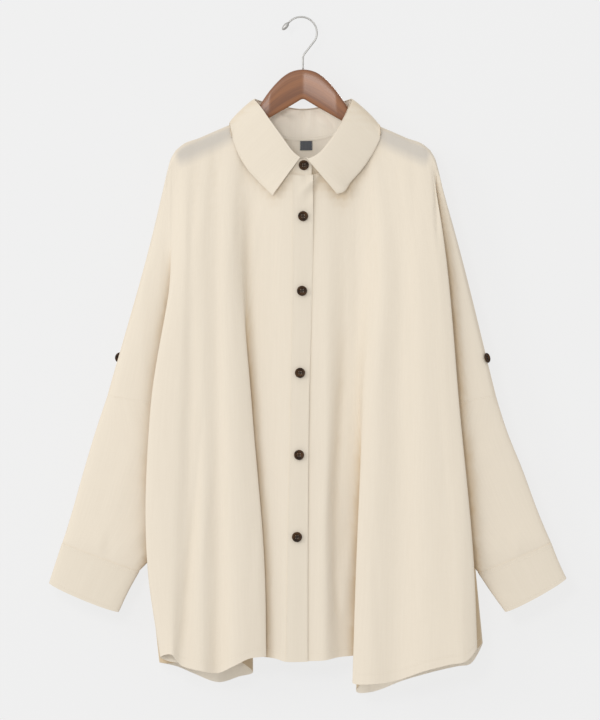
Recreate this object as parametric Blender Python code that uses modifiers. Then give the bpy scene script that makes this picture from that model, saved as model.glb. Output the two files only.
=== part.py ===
"""An oversized cotton shirt hanging on a wooden hanger, for Blender 4.5.

The frame: metres, +Z up, the front of the shirt faces -Y. The origin is where the rail bears,
on the inside of the hook's bend. Everything below is worked out in millimetres in the garment's
own frame, whose X starts at the hanger's stem, and is brought into the frame at the end.

The cloth hangs in folds. Each fold line is a row of a table, and the wall runs
smoothly through the fold lines, from the neckline and shoulder seam down to the hem.
"""

import math
from collections import namedtuple

import bmesh
import bpy
import numpy as np
from mathutils import Vector
from mathutils.bvhtree import BVHTree

MM = 0.001
BACKWARD = Vector((0, 1, 0))
GAP = 0.3                # between pieces that are sewn or rest together
SEAM_HALF = 0.8          # from a seam at a turned edge to the cloth on each side of it
WELD = 0.05
TOP_EDGE_REACH = 0.4     # the share of the chest over which the top edge's shape fades

# Cloth walls
CLOTH = 1.2              # a panel with its turned seams
PLACKET_CLOTH = 1.3      # the folded buttonhole band
COLLAR_CLOTH = 1.6       # two plies and the interlining
CUFF_CLOTH = 1.8

# Where the garment hangs
STEM_X = 3.0             # the hanger's stem stands this far from the hook's own centre
HANGER_SWEEP = 20.0      # how far the arms come forward
SWEEP_REACH = 240.0      # the distance from the stem at which they stop coming forward
SHOULDER_FORE = 8.5      # from the hanger's plane to the cloth's face just below the shoulder
SHOULDER_ROUND = 9.0     # how far down the cloth rounds over the hanger

# Levels, as distances below the hook
CHEST_DROP = 326.0
WAIST_DROP = 590.0       # the underarm, where the sleeve is sewn on
HIP_DROP = 836.0

# Neckline
NECK_HALF_WIDTH = 85.0
NECK_POINT_DROP = 149.0
FRONT_NECK_DROP = 88.0
BACK_NECK_DROP = 33.0
NECK_ROUNDNESS = 2.4     # 2 is an ellipse, and more is squarer
FRONT_NECK_FORE = 34.0
UNDERLAP = 5.0           # how far the left front's edge lies behind the right front's
BACK_NECK_FORE = 26.0

# Shoulder line: distance out from the stem, and distance below the hook
Shoulder = namedtuple("Shoulder", "out drop")
SHOULDER_LINE = (
    Shoulder(85, 149),
    Shoulder(111, 161),
    Shoulder(134, 171),
    Shoulder(157, 181),
    Shoulder(180, 190),
    Shoulder(191, 199),
)
TIP_OUT = 191.0          # past here the cloth falls off the end of the hanger
FALL_LINE = (
    Shoulder(191, 199),
    Shoulder(198, 211),
    Shoulder(203, 228),
    Shoulder(210, 258),
)
FALL_END = 252.0         # the top of the outermost fold line, measured on along the fall line

# Fold lines of the body, from the front edge outward. top is where the line starts, as the
# distance out along the neckline and shoulder. The next four are its distance out from the
# stem at each level, then how far it stands forward (or backward, on the back) of the
# hanger's plane, how far the hem hangs below the hook there, and the stretches of wall up to
# the next line.
Fold = namedtuple(
    "Fold", "name top chest waist hip hem chest_fore waist_fore hem_fore drop steps"
)
RIGHT_FRONT = (
    Fold("free edge", -15, -15, -9, -7, -7, 31, 34, 36, 966, 2),
    Fold("placket seam", 16, 16, 19, 24, 26, 31, 34, 36, 966, 2),
    Fold("centre hollow", 44, 50, 52, 45, 43, 26, 28, 29, 961, 3),
    Fold("deep fold turn", 72, 79, 91, 90, 90, 21, 21, 21, 956, 3),
    Fold("deep fold edge", 85, 94, 76, 57, 55, 27, 34, 37, 958, 3),
    Fold("fold face", 98, 106, 94, 80, 80, 32, 42, 46, 961, 2),
    Fold("first crest", 109, 116, 112, 106, 105, 33, 43, 47, 973, 2),
    Fold("first hollow", 125, 130, 129, 127, 129, 25, 30, 33, 983, 2),
    Fold("second crest", 144, 150, 150, 150, 151, 31, 39, 43, 980, 2),
    Fold("second hollow", 160, 166, 169, 174, 183, 26, 30, 32, 971, 2),
    Fold("third crest", 174, 177, 187, 196, 197, 29, 37, 40, 955, 2),
    Fold("side edge", 188, 190, 229, 232, 214, 22, 26, 25, 959, 3),
    Fold("side return", 197, 197, 208, 211, 203, 18, 15, 14, 965, 2),
    Fold("inner return", 206, 199, 160, 152, 187, 17, 13, 12, 968, 2),
    Fold("underarm", 215, 203, 149, 140, 181, 15, 1, 1, 970, 3),
)
LEFT_FRONT = (
    Fold("under edge", -14, -16, -21, -25, -26, 26, 29, 31, 965, 2),
    Fold("placket side", 18, 22, 19, 15, 15, 27, 30, 32, 965, 2),
    Fold("centre crest", 40, 40, 37, 34, 33, 28, 32, 34, 964, 2),
    Fold("centre hollow", 60, 66, 59, 52, 57, 23, 23, 25, 959, 3),
    Fold("deep fold turn", 72, 84, 84, 107, 112, 21, 20, 19, 959, 3),
    Fold("deep fold edge", 85, 103, 90, 79, 74, 27, 34, 37, 997, 3),
    Fold("fold face", 98, 118, 109, 103, 98, 32, 41, 45, 1000, 2),
    Fold("soft hollow", 122, 145, 145, 142, 140, 28, 34, 38, 994, 2),
    Fold("broad crest", 146, 168, 178, 181, 181, 31, 39, 43, 980, 2),
    Fold("outer face", 162, 188, 205, 214, 220, 29, 36, 40, 970, 2),
    Fold("side crest", 175, 201, 224, 241, 245, 27, 33, 36, 965, 2),
    Fold("side edge", 188, 211, 239, 261, 262, 22, 26, 26, 946, 3),
    Fold("side return", 197, 207, 225, 247, 250, 17, 15, 14, 956, 2),
    Fold("inner return", 206, 200, 160, 175, 228, 14, 13, 12, 962, 2),
    Fold("underarm", 215, 194, 149, 165, 222, 11, 1, 1, 964, 3),
)
# The back, from its centre outward to the wearer's right and left. Its last two fold lines,
# the inner return and the underarm, are the front's.
RIGHT_BACK = (
    Fold("centre", 0, 0, 0, 0, 0, 25, 27, 28, 952, 2),
    Fold("centre crest", 30, 46, 46, 46, 46, 28, 31, 33, 952, 3),
    Fold("deep fold turn", 72, 79, 95, 104, 104, 21, 21, 20, 956, 3),
    Fold("deep fold edge", 85, 94, 86, 76, 75, 27, 34, 37, 983, 3),
    Fold("fold face", 98, 106, 102, 97, 97, 32, 41, 45, 990, 2),
    Fold("hollow", 123, 130, 129, 127, 127, 26, 31, 34, 998, 2),
    Fold("outer crest", 150, 156, 160, 161, 162, 31, 39, 42, 986, 2),
    Fold("outer hollow", 172, 174, 187, 191, 190, 27, 32, 34, 974, 2),
    Fold("side edge", 188, 188, 226, 229, 216, 22, 26, 25, 968, 3),
    Fold("side return", 197, 196, 207, 209, 204, 18, 15, 14, 969, 2),
)
LEFT_BACK = (
    Fold("centre", 0, 0, 0, 0, 0, 25, 27, 28, 952, 2),
    Fold("centre crest", 30, 46, 46, 46, 46, 28, 31, 33, 952, 3),
    Fold("deep fold turn", 72, 84, 85, 107, 112, 21, 21, 20, 956, 3),
    Fold("deep fold edge", 85, 101, 90, 82, 80, 27, 34, 37, 1012, 3),
    Fold("fold face", 98, 118, 112, 106, 104, 32, 41, 45, 1013, 2),
    Fold("hollow", 123, 145, 148, 150, 152, 27, 32, 35, 995, 2),
    Fold("outer crest", 150, 172, 186, 193, 194, 31, 39, 42, 983, 2),
    Fold("outer hollow", 167, 190, 210, 226, 232, 28, 34, 37, 974, 2),
    Fold("side crest", 178, 200, 225, 244, 252, 26, 32, 34, 970, 2),
    Fold("side edge", 188, 209, 236, 260, 270, 22, 26, 25, 938, 3),
    Fold("side return", 197, 205, 223, 246, 258, 17, 15, 14, 950, 2),
)
# Fold lines of the upper arm, between the underarm and its outer edge. They end at the
# sleeve seam, which climbs by rise from the underarm.
Wing = namedtuple("Wing", "name top chest waist rise chest_fore waist_fore steps")
RIGHT_WING = (
    Wing("arm face", 230, 213, 229, 13, 11, 10, 3),
    Wing("arm bend", 246, 223, 287, 23, 6, 5, 2),
    Wing("arm edge", FALL_END, 226, 293, 24, 0, 0, 0),
)
LEFT_WING = (
    Wing("arm face", 230, 213, 228, 13, 9, 10, 3),
    Wing("arm bend", 246, 226, 283, 23, 6, 5, 2),
    Wing("arm edge", FALL_END, 229, 289, 24, 0, 0, 0),
)
# Rows of the wall, in levels: 0 the top, 1 the chest, 2 the underarm, 3 the hip, 4 the hem
UPPER_ROWS = (0, 0.004, 0.02, 0.05, 0.12, 0.3, 0.62, 1, 1.33, 1.66, 2)
LOWER_ROWS = (2.4, 2.8, 3.2, 3.6, 4)

# Sleeves, below the sleeve seam: each section runs from the outer edge to the inner edge, and
# its middle hangs lower by sag.
SLEEVE_SIDES = 8         # stretches across a sleeve, the same as the arm above it has
SLEEVE_STEPS = 2         # rows of wall from one section to the next
TUBE_ROUNDNESS = 0.8     # 1 is an ellipse, and less is squarer
SLEEVE_SEAM_GAP = 0.5
UNDERARM_CLEAR = 1.6     # the sleeve starts this far out from the side seam
Section = namedtuple("Section", "name out drop inner_out inner_drop fore sag")
RIGHT_SLEEVE = (
    Section("elbow", 311, 620, 158, 654, 11, 0),
    Section("forearm", 329, 680, 171, 715, 11, 0),
    Section("lower", 346, 740, 194, 774, 10, 0),
    Section("gathers", 357, 776, 226, 810, 10, 1),
    Section("cuff seam", 361, 787, 245, 830, 8, 2),
)
LEFT_SLEEVE = (
    Section("elbow", 306, 620, 158, 654, 11, 0),
    Section("forearm", 330, 680, 176, 715, 11, 0),
    Section("lower", 352, 740, 208, 774, 10, 0),
    Section("gathers", 367, 776, 246, 812, 10, 1),
    Section("cuff seam", 372, 787, 262, 832, 8, 2),
)
RIGHT_CUFF = (
    Section("seam", 361.3, 787.6, 245.3, 830.6, 8, 2),
    Section("middle", 371, 817, 262, 861, 8, 3.5),
    Section("end", 381, 848, 276, 891, 8, 5),
)
LEFT_CUFF = (
    Section("seam", 372.3, 787.6, 262.3, 832.6, 8, 2),
    Section("middle", 383, 815, 282, 862, 8, 3.5),
    Section("end", 395, 841, 303, 891, 8, 5),
)

# Collar, from the point at the wearer's right round the back to the left: where the fall
# rolls over the stand, and where its outer edge comes. The fore values are behind the
# hanger's plane at the back. angle is the place on the neckline below, from 0 at the front
# centre through -90 at the right shoulder and -180 at the nape.
Collar = namedtuple("Collar", "name roll_x roll_drop roll_fore edge_x edge_drop edge_fore angle steps")
COLLAR = (
    Collar("right point", -4, 210, 38, -46, 267, 40, -7, 2),
    Collar("right front", -15, 201, 38, -66, 247, 30, -16, 2),
    Collar("right breast", -32, 178, 34, -84, 227, 24, -31, 2),
    Collar("right slope", -50, 153, 27, -98, 203, 18, -49, 2),
    Collar("right neck", -64, 133, 17, -107, 177, 12, -67, 2),
    Collar("right side", -73, 122, 2, -110, 158, 0, -90, 2),
    Collar("right nape", -64, 124, -15, -104, 170, -24, -122, 2),
    Collar("right back", -36, 131, -24, -60, 189, -34, -152, 2),
    Collar("nape", 0, 136, -27, 0, 194, -36, -180, 2),
    Collar("left back", 36, 131, -24, 60, 189, -34, -208, 2),
    Collar("left nape", 64, 124, -15, 104, 170, -24, -238, 2),
    Collar("left side", 73, 122, 2, 112, 159, 0, -270, 2),
    Collar("left neck", 67, 139, 17, 116, 178, 12, -293, 2),
    Collar("left slope", 57, 158, 27, 107, 200, 18, -311, 2),
    Collar("left breast", 41, 183, 34, 90, 226, 24, -329, 2),
    Collar("left front", 24, 203, 38, 71, 248, 30, -344, 2),
    Collar("left tip", 9, 211, 38, 62, 261, 38, -350, 2),
    Collar("left point", 4, 210, 38, 51, 265, 40, -353, 0),
)

COLLAR_BULGE = 4.0       # how far the fall rounds out over its roll
COLLAR_REST = 1.7        # from the fall to the cloth that it rests on
CLEAR_TRIES = 3
FALL_ROWS = (0, 0.05, 0.15, 0.35, 0.65, 1)

STAND_SEAM_GAP = 1.0
STAND_TUCK_IN = 1.5      # the stand ends this far inside the roll
STAND_TUCK_DOWN = 2.5    # and this far below it
STAND_ROWS = (0, 0.3, 0.65, 1)
# The stand runs on past the collar's points, and its ends overlap under the first button.
Stand = namedtuple("Stand", "name top_x top_drop top_fore angle steps")
STAND_OVER_END = (
    Stand("buttonhole end", 13, 217, 35, 9, 1),
    Stand("over middle", 4, 212, 35.5, 1, 1),
)
STAND_UNDER_END = (
    Stand("under middle", -4, 212, 30, -361, 1),
    Stand("button end", -13, 217, 29.5, -369, 0),
)
UNDER_STAND_REACH = 50.0  # degrees of neckline over which the left stand comes forward again

# Label inside the back neck
LABEL_CLOTH = 1.0
LABEL_LEFT = -4.5
LABEL_RIGHT = 14.0
LABEL_TOP = 184.5
LABEL_HEIGHT = 14.0

# Buttons
BUTTON_RADIUS = 7.6
BUTTON_SEAT = 0.6        # from the cloth to a button's back
BUTTON_SIDES = 12
BUTTON_THICK = 3.2
HOLE_RADIUS = 0.9
HOLE_SPACING = 3.2
Button = namedtuple("Button", "side drop")
FRONT_BUTTONS = (
    Button(1, 221.5),
    Button(0, 298),
    Button(-1.5, 410),
    Button(-4.5, 533),
    Button(-6, 656),
    Button(-9, 779),
)
TAB_BUTTON = Button(289, 508)            # beyond the arm's edge, which it is moved back to
TAB_BUTTON_FORE = 14.0
IN_FRONT = 200.0         # a place in front of the whole shirt

# Hanger
WOOD_HALF_THICK = 6.2
WOOD_SIDES = 12
WIRE_RADIUS = 1.5
HOOK_RADIUS = 22.5       # inside the bend
HOOK_START = 140         # degrees round the bend, from the tip's end to the neck's
HOOK_END = -25
HOOK_ARC_STEPS = 12
HOOK_NECK_STEPS = 3
HOOK_NECK = ((18.2, 37.5), (9.75, 48.0), (4.6, 56.0), (STEM_X, 63.0))
BEAD_RADIUS = 3.6
BEAD_LENGTH = 15.0
Arm = namedtuple("Arm", "out top bottom")
HANGER_ARM = (
    Arm(0, 77.5, 122),
    Arm(10, 78.6, 127),
    Arm(20, 82, 133),
    Arm(30, 88.5, 138.6),
    Arm(40, 98, 144.2),
    Arm(50, 109.5, 150),
    Arm(60, 123.5, 155.5),
    Arm(70, 138.5, 161),
    Arm(84, 153, 169),
    Arm(111, 163, 183.5),
    Arm(134, 172.6, 195.5),
    Arm(157, 182.6, 206),
    Arm(174, 190, 214),
    Arm(184, 195.6, 216),
    Arm(187, 199.5, 212),
)

# What a panel needs besides its fold lines: 1 for the front and -1 for the back, how far its
# neckline dips below the neck point, and how far forward or back that dip stands
Panel = namedtuple("Panel", "facing neck_dip neck_fore")
FRONT_OVER = Panel(1, FRONT_NECK_DROP, FRONT_NECK_FORE)
FRONT_UNDER = Panel(1, FRONT_NECK_DROP, FRONT_NECK_FORE - UNDERLAP)
BACK = Panel(-1, BACK_NECK_DROP, BACK_NECK_FORE)

# A fold line in use: -1 on the wearer's right and 1 on the left, and the stretches to the next
Line = namedtuple("Line", "side fold steps")


def smooth(knots, values, at):
    """Values between knots, on a curve that passes through each of them."""
    knots = np.asarray(knots, float)
    values = np.asarray(values, float)
    widths = np.diff(knots)
    rates = (np.diff(values, axis=0).T / widths).T
    slopes = np.empty_like(values)
    slopes[0] = rates[0]
    slopes[-1] = rates[-1]
    for i in range(1, len(knots) - 1):
        slopes[i] = (rates[i - 1] * widths[i] + rates[i] * widths[i - 1]) / (widths[i - 1] + widths[i])
    result = []
    for place in np.atleast_1d(at):
        i = int(np.clip(np.searchsorted(knots, place) - 1, 0, len(widths) - 1))
        s = (place - knots[i]) / widths[i]
        result.append(
            (1 + 2 * s) * (1 - s) ** 2 * values[i]
            + s * (1 - s) ** 2 * widths[i] * slopes[i]
            + s * s * (3 - 2 * s) * values[i + 1]
            + s * s * (s - 1) * widths[i] * slopes[i + 1]
        )
    return np.array(result)


def weave(points, steps):
    """A curve through points, cut into the given number of stretches after each of them."""
    points = np.asarray(points, float)
    chords = np.sqrt(np.linalg.norm(np.diff(points, axis=0), axis=1) + 0.01)
    knots = np.concatenate(([0], np.cumsum(chords)))
    at = [knots[0]]
    for i, count in enumerate(steps[: len(chords)]):
        at.extend(knots[i] + chords[i] * (k + 1) / count for k in range(count))
    return smooth(knots, points, at)


def sweep(out):
    """How far the hanger's plane has come forward at a distance from the stem."""
    return HANGER_SWEEP * np.minimum(np.abs(out) / SWEEP_REACH, 1) ** 2


def to_frame(points, facing=1):
    """Points given as side distance, forward distance and drop, brought into x, y, z."""
    points = np.asarray(points, float)
    x = points[..., 0]
    return np.stack((x, -sweep(x) - facing * points[..., 1], -points[..., 2]), axis=-1)


def neck_share(out):
    """1 at the middle of the neckline, falling to 0 at the neck point."""
    return max(0.0, 1 - (abs(out) / NECK_HALF_WIDTH) ** NECK_ROUNDNESS)


def top_of(top, panel):
    """Where a fold line starts: its distance out and its drop."""
    if top <= NECK_HALF_WIDTH:
        return Shoulder(top, NECK_POINT_DROP + panel.neck_dip * neck_share(top))
    if top <= TIP_OUT:
        outs, drops = zip(*SHOULDER_LINE)
        return Shoulder(top, float(smooth(outs, drops, top)[0]))
    fall = np.array(FALL_LINE, float)
    along = TIP_OUT + np.concatenate(([0], np.cumsum(np.linalg.norm(np.diff(fall, axis=0), axis=1))))
    return Shoulder(*smooth(along, fall, top)[0])


def shoulder_round(depth):
    """The share of its full distance forward that the cloth has, this far below the shoulder."""
    return math.sqrt(1 - (1 - min(max(depth, 0) / SHOULDER_ROUND, 1)) ** 2)


def fold_point(fold, panel, level):
    """A fold line at a level: distance out, distance forward and drop."""
    start = top_of(fold.top, panel)
    neck_fore = panel.neck_fore * math.sqrt(neck_share(fold.top))
    start_fore = max(neck_fore, min(SHOULDER_FORE, fold.chest_fore))
    knots = [
        (start.drop, start.out, start_fore),
        (CHEST_DROP, fold.chest, fold.chest_fore),
    ]
    if isinstance(fold, Wing):
        knots.append((WAIST_DROP - fold.rise, fold.waist, fold.waist_fore))
    else:
        knots.append((WAIST_DROP, fold.waist, fold.waist_fore))
        knots.append((HIP_DROP, fold.hip, (fold.waist_fore + fold.hem_fore) / 2))
        knots.append((fold.drop, fold.hem, fold.hem_fore))
    drops = [knot[0] for knot in knots]
    drop = float(np.interp(level, range(len(drops)), drops))
    out, fore = smooth(drops, [knot[1:] for knot in knots], drop)[0]
    rise_above = start.drop if fold.top > NECK_HALF_WIDTH else NECK_POINT_DROP
    least = min(neck_fore / start_fore, 1) if start_fore else 1
    share = max(least, shoulder_round(drop - rise_above))
    return out, fore - start_fore * (1 - share) + SEAM_HALF, drop


def top_edge(lines, panel):
    """The true neckline, shoulder and fall line, at each column of a panel."""
    tops = weave([(line.side * line.fold.top, 0, 0) for line in lines], [line.steps for line in lines])
    points = []
    for top in tops[:, 0]:
        start = top_of(abs(top), panel)
        fore = panel.neck_fore * math.sqrt(neck_share(top)) + SEAM_HALF
        points.append((math.copysign(start.out, top), fore, start.drop))
    return np.array(points)


def panel_rows(lines, panel, levels):
    """Rows of points across a panel, one row for each level."""
    steps = [line.steps for line in lines]
    woven = {}
    for level in (0, *levels):
        points = []
        for line in lines:
            out, fore, drop = fold_point(line.fold, panel, level)
            points.append((line.side * out, fore, drop))
        woven[level] = weave(points, steps)
    slack = top_edge(lines, panel) - woven[0]
    rows = []
    for level in levels:
        taken = slack * max(0, 1 - level / TOP_EDGE_REACH) ** 2
        rows.append(to_frame(woven[level] + taken, panel.facing))
    return np.array(rows)


def front_lines(folds, wing, side):
    """A front half's fold lines, from its front edge out to the arm."""
    return [Line(side, fold, fold.steps) for fold in (*folds, *wing)]


def back_lines():
    """The back's fold lines, from the right arm's edge across to the left arm's edge."""
    right = (*RIGHT_BACK, *RIGHT_FRONT[-2:], *RIGHT_WING)
    left = (*LEFT_BACK, *LEFT_FRONT[-2:], *LEFT_WING)
    lines = [Line(-1, right[i], right[i - 1].steps) for i in range(len(right) - 1, 0, -1)]
    return lines + [Line(1, fold, fold.steps) for fold in left]


def column_of(lines, name, side):
    """The column of points that a named fold line has."""
    column = 0
    for line in lines:
        if line.fold.name == name and line.side == side:
            return column
        column += line.steps
    raise ValueError(name)


def sheet(points, flip=False, keep=None, closed=False):
    """An open surface through rows of points. keep tells which of its squares it has."""
    rows, columns = points.shape[:2]
    mesh = bmesh.new()
    bmesh.ops.create_grid(mesh, x_segments=columns - 1, y_segments=rows - 1, size=1)
    places = {}
    for vert in mesh.verts:
        column = round((vert.co.x + 1) / 2 * (columns - 1))
        row = round((vert.co.y + 1) / 2 * (rows - 1))
        places[vert] = (row, column)
    if keep is not None:
        unused = []
        for face in mesh.faces:
            row = min(places[vert][0] for vert in face.verts)
            column = min(places[vert][1] for vert in face.verts)
            if not keep(row, column):
                unused.append(face)
        bmesh.ops.delete(mesh, geom=unused, context="FACES")
    for vert in mesh.verts:
        vert.co = in_metres(points[places[vert]])
    if closed:
        bmesh.ops.remove_doubles(mesh, verts=mesh.verts, dist=WELD * MM)
    if flip:
        bmesh.ops.reverse_faces(mesh, faces=mesh.faces)
    mesh.normal_update()
    return mesh


def in_metres(point):
    """A point of the garment's own frame, in the part's frame."""
    x, y, z = point
    return Vector((x + STEM_X, y, z)) * MM


def tree_of(mesh):
    """A surface as a tree that finds the point nearest to a place."""
    return BVHTree.FromBMesh(mesh)


def clear_of(points, trees, distance):
    """Points moved out where they are nearer than distance to their nearest surface."""
    moved = points.copy()
    for index in np.ndindex(points.shape[:-1]):
        for _ in range(CLEAR_TRIES):
            place = in_metres(moved[index])
            found = [tree.find_nearest(place) for tree in trees]
            near, normal = min(found, key=lambda hit: hit[3])[:2]
            short = distance * MM - (place - near).dot(normal)
            if short > 0:
                moved[index] += np.array(normal * short) / MM
    return moved


def make_collection(name):
    """A new collection in the scene."""
    collection = bpy.data.collections.new(name)
    bpy.context.scene.collection.children.link(collection)
    return collection


def make_material(name, colour, roughness, metallic=0.0):
    """A plain material."""
    material = bpy.data.materials.new(name)
    material.use_nodes = True
    shader = material.node_tree.nodes["Principled BSDF"]
    shader.inputs["Base Color"].default_value = (*colour, 1)
    shader.inputs["Roughness"].default_value = roughness
    shader.inputs["Metallic"].default_value = metallic
    return material


class Maker:
    """Adds named pieces to the shirt's collection, each under the shirt's empty."""

    def __init__(self):
        self.parts = make_collection("shirt_on_hanger")
        self.cutters = make_collection("cutters")
        self.button_mesh = None
        self.origin = bpy.data.objects.new("shirt_on_hanger", None)
        self.parts.objects.link(self.origin)
        self.materials = {
            "cloth": make_material("cream cotton", (0.78, 0.68, 0.56), 0.85),
            "buttons": make_material("dark brown horn", (0.03, 0.016, 0.009), 0.3),
            "label": make_material("dark woven label", (0.09, 0.1, 0.12), 0.8),
            "wood": make_material("varnished brown wood", (0.24, 0.11, 0.06), 0.28),
            "steel": make_material("chromed steel", (0.7, 0.68, 0.65), 0.15, 1.0),
        }

    def add(self, name, data, material):
        """One piece from its mesh or curve."""
        piece = bpy.data.objects.new(name, data)
        piece.parent = self.origin
        data.materials.append(self.materials[material])
        self.parts.objects.link(piece)
        return piece

    def add_mesh(self, name, mesh, material):
        """One piece from an edited mesh, which is freed."""
        data = bpy.data.meshes.new(name)
        mesh.to_mesh(data)
        mesh.free()
        data.shade_smooth()
        return self.add(name, data, material)

    def add_cloth(self, name, mesh, thickness, material="cloth"):
        """One piece of cloth from the surface that shows, with its wall behind it."""
        piece = self.add_mesh(name, mesh, material)
        wall = piece.modifiers.new("wall", "SOLIDIFY")
        wall.thickness = thickness * MM
        wall.offset = -1
        wall.use_even_offset = False
        return piece

    def seat_button(self, name, place, normal):
        """A button whose back lies just off a point of the cloth, facing along its normal."""
        if self.button_mesh is None:
            self.button_mesh = make_button_mesh(self)
            self.button_mesh.materials.append(self.materials["buttons"])
        button = bpy.data.objects.new(name, self.button_mesh)
        button.parent = self.origin
        button.location = place + normal * BUTTON_SEAT * MM
        button.rotation_euler = normal.to_track_quat("Z", "Y").to_euler()
        self.parts.objects.link(button)

    def add_button(self, name, tree, near_point):
        """A button on the point of the cloth that is nearest to a place."""
        place, normal = tree.find_nearest(in_metres(near_point))[:2]
        self.seat_button(name, place, normal)


def join_rows(upper, lower, first):
    """The rows of a body with arms above and without arms below, as one block of points."""
    below = np.zeros((len(lower), *upper.shape[1:]))
    below[:, first:first + lower.shape[1]] = lower
    return np.concatenate((upper, below))


def make_fronts(maker):
    """Both fronts, each cut in one with its upper arm. Returns their surfaces as trees."""
    halves = (
        ("front_right", RIGHT_FRONT, RIGHT_WING, FRONT_OVER, -1),
        ("front_left", LEFT_FRONT, LEFT_WING, FRONT_UNDER, 1),
    )
    trees = {}
    for name, folds, wing, panel, side in halves:
        lines = front_lines(folds, wing, side)
        body_columns = column_of(lines, "underarm", side)
        upper = panel_rows(lines, panel, UPPER_ROWS)
        lower = panel_rows(lines[: len(folds)], panel, LOWER_ROWS)
        points = join_rows(upper, lower, 0)
        surface = sheet(
            points,
            flip=side > 0,
            keep=lambda row, column: row < len(UPPER_ROWS) - 1 or column < body_columns,
        )
        trees[name] = tree_of(surface)
        maker.add_cloth(name, surface, CLOTH)
    return trees


def make_back(maker):
    """The back, cut in one with both upper arms. Returns its surface as a tree."""
    lines = back_lines()
    body = [line for line in lines if isinstance(line.fold, Fold)]
    first = column_of(lines, "underarm", -1)
    last = column_of(lines, "underarm", 1)
    upper = panel_rows(lines, BACK, UPPER_ROWS)
    lower = panel_rows(body, BACK, LOWER_ROWS)
    surface = sheet(
        join_rows(upper, lower, first),
        keep=lambda row, column: row < len(UPPER_ROWS) - 1 or first <= column < last,
    )
    tree = tree_of(surface)
    maker.add_cloth("back", surface, CLOTH)
    return tree


def make_placket(maker):
    """The buttonhole band along the right front's edge. Returns its surface as a tree."""
    levels = UPPER_ROWS + LOWER_ROWS
    lines = front_lines(RIGHT_FRONT, (), -1)
    width = RIGHT_FRONT[0].steps
    points = panel_rows(lines, FRONT_OVER, levels)[:, : width + 1]
    points[..., 1] -= PLACKET_CLOTH + GAP
    surface = sheet(points)
    tree = tree_of(surface)
    maker.add_cloth("placket", surface, PLACKET_CLOTH)
    return tree


def section_ring(section, side):
    """A flat tube's section: across its front from the outer edge, then back behind."""
    ring = []
    turns = [math.pi * k / SLEEVE_SIDES for k in range(2 * SLEEVE_SIDES + 1)]
    for turn in turns:
        share = (1 - math.cos(turn)) / 2
        out = section.out + (section.inner_out - section.out) * share
        drop = section.drop + (section.inner_drop - section.drop) * share
        drop += section.sag * abs(math.sin(turn))
        fore = math.copysign(abs(math.sin(turn)) ** TUBE_ROUNDNESS, math.sin(turn)) * section.fore
        ring.append((side * out, fore, drop))
    return to_frame(ring)


def tube_rows(rings, steps):
    """Rings joined by smooth lengths of tube, each cut into steps."""
    rings = np.array(rings)
    columns = [weave(rings[:, k], [steps] * (len(rings) - 1)) for k in range(rings.shape[1])]
    return np.stack(columns, axis=1)


def seam_ring(folds, wing, side):
    """The sleeve's first ring, just below the edges of the front and the back."""
    lines = front_lines(folds[-2:], wing, side)
    skip = folds[-2].steps
    front = panel_rows(lines, FRONT_OVER, (2,))[0][skip:]
    back = panel_rows(lines, BACK, (2,))[0][skip:]
    for end in (0, -1):
        front[end] = back[end] = (front[end] + back[end]) / 2
    ring = np.concatenate((front[::-1], back[1:]))
    ring[:, 2] -= SLEEVE_SEAM_GAP
    reach = abs(front[-1, 0] - front[0, 0])
    from_underarm = np.abs(ring[:, 0] - front[0, 0]) / reach
    ring[:, 0] += side * UNDERARM_CLEAR * (1 - from_underarm) ** 2
    return ring


def make_sleeves(maker):
    """Both lower sleeves, from the seam at the elbow to the gathers above the cuff."""
    halves = (
        ("sleeve_right", RIGHT_SLEEVE, RIGHT_FRONT, RIGHT_WING, -1),
        ("sleeve_left", LEFT_SLEEVE, LEFT_FRONT, LEFT_WING, 1),
    )
    for name, sections, folds, wing, side in halves:
        rings = [seam_ring(folds, wing, side)]
        rings += [section_ring(section, side) for section in sections]
        surface = sheet(tube_rows(rings, SLEEVE_STEPS), flip=side < 0, closed=True)
        maker.add_cloth(name, surface, CLOTH)


def make_cuffs(maker):
    """Both cuffs, each with its button behind."""
    halves = (("right", RIGHT_CUFF, -1), ("left", LEFT_CUFF, 1))
    for name, sections, side in halves:
        rings = [section_ring(section, side) for section in sections]
        surface = sheet(tube_rows(rings, SLEEVE_STEPS), flip=side < 0, closed=True)
        tree = tree_of(surface)
        maker.add_cloth(f"cuff_{name}", surface, CUFF_CLOTH)
        middle = sections[1]
        place = to_frame((
            side * (middle.out + middle.inner_out) / 2,
            0,
            (middle.drop + middle.inner_drop) / 2,
        ))
        behind = place + (0, 3 * middle.fore, 0)
        maker.add_button(f"cuff_button_{name}", tree, behind)


def neck_point(angle):
    """A point of the neckline, from the angle round it."""
    turn = math.radians(angle)
    x = NECK_HALF_WIDTH * math.sin(turn)
    panel = BACK
    if math.cos(turn) > 0:
        panel = FRONT_OVER if angle > -180 else FRONT_UNDER
    share = neck_share(x)
    fore = panel.neck_fore * math.sqrt(share) + SEAM_HALF * abs(math.cos(turn))
    return np.array((x, panel.facing * fore, NECK_POINT_DROP + panel.neck_dip * share))


def along_neck(rows, angles_steps):
    """The neckline's points for the columns of a collar piece."""
    steps = [row.steps for row in rows]
    angles = weave([(row.angle, 0, 0) for row in rows], steps)[:, 0]
    return np.array([neck_point(angle) for angle in angles])


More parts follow.
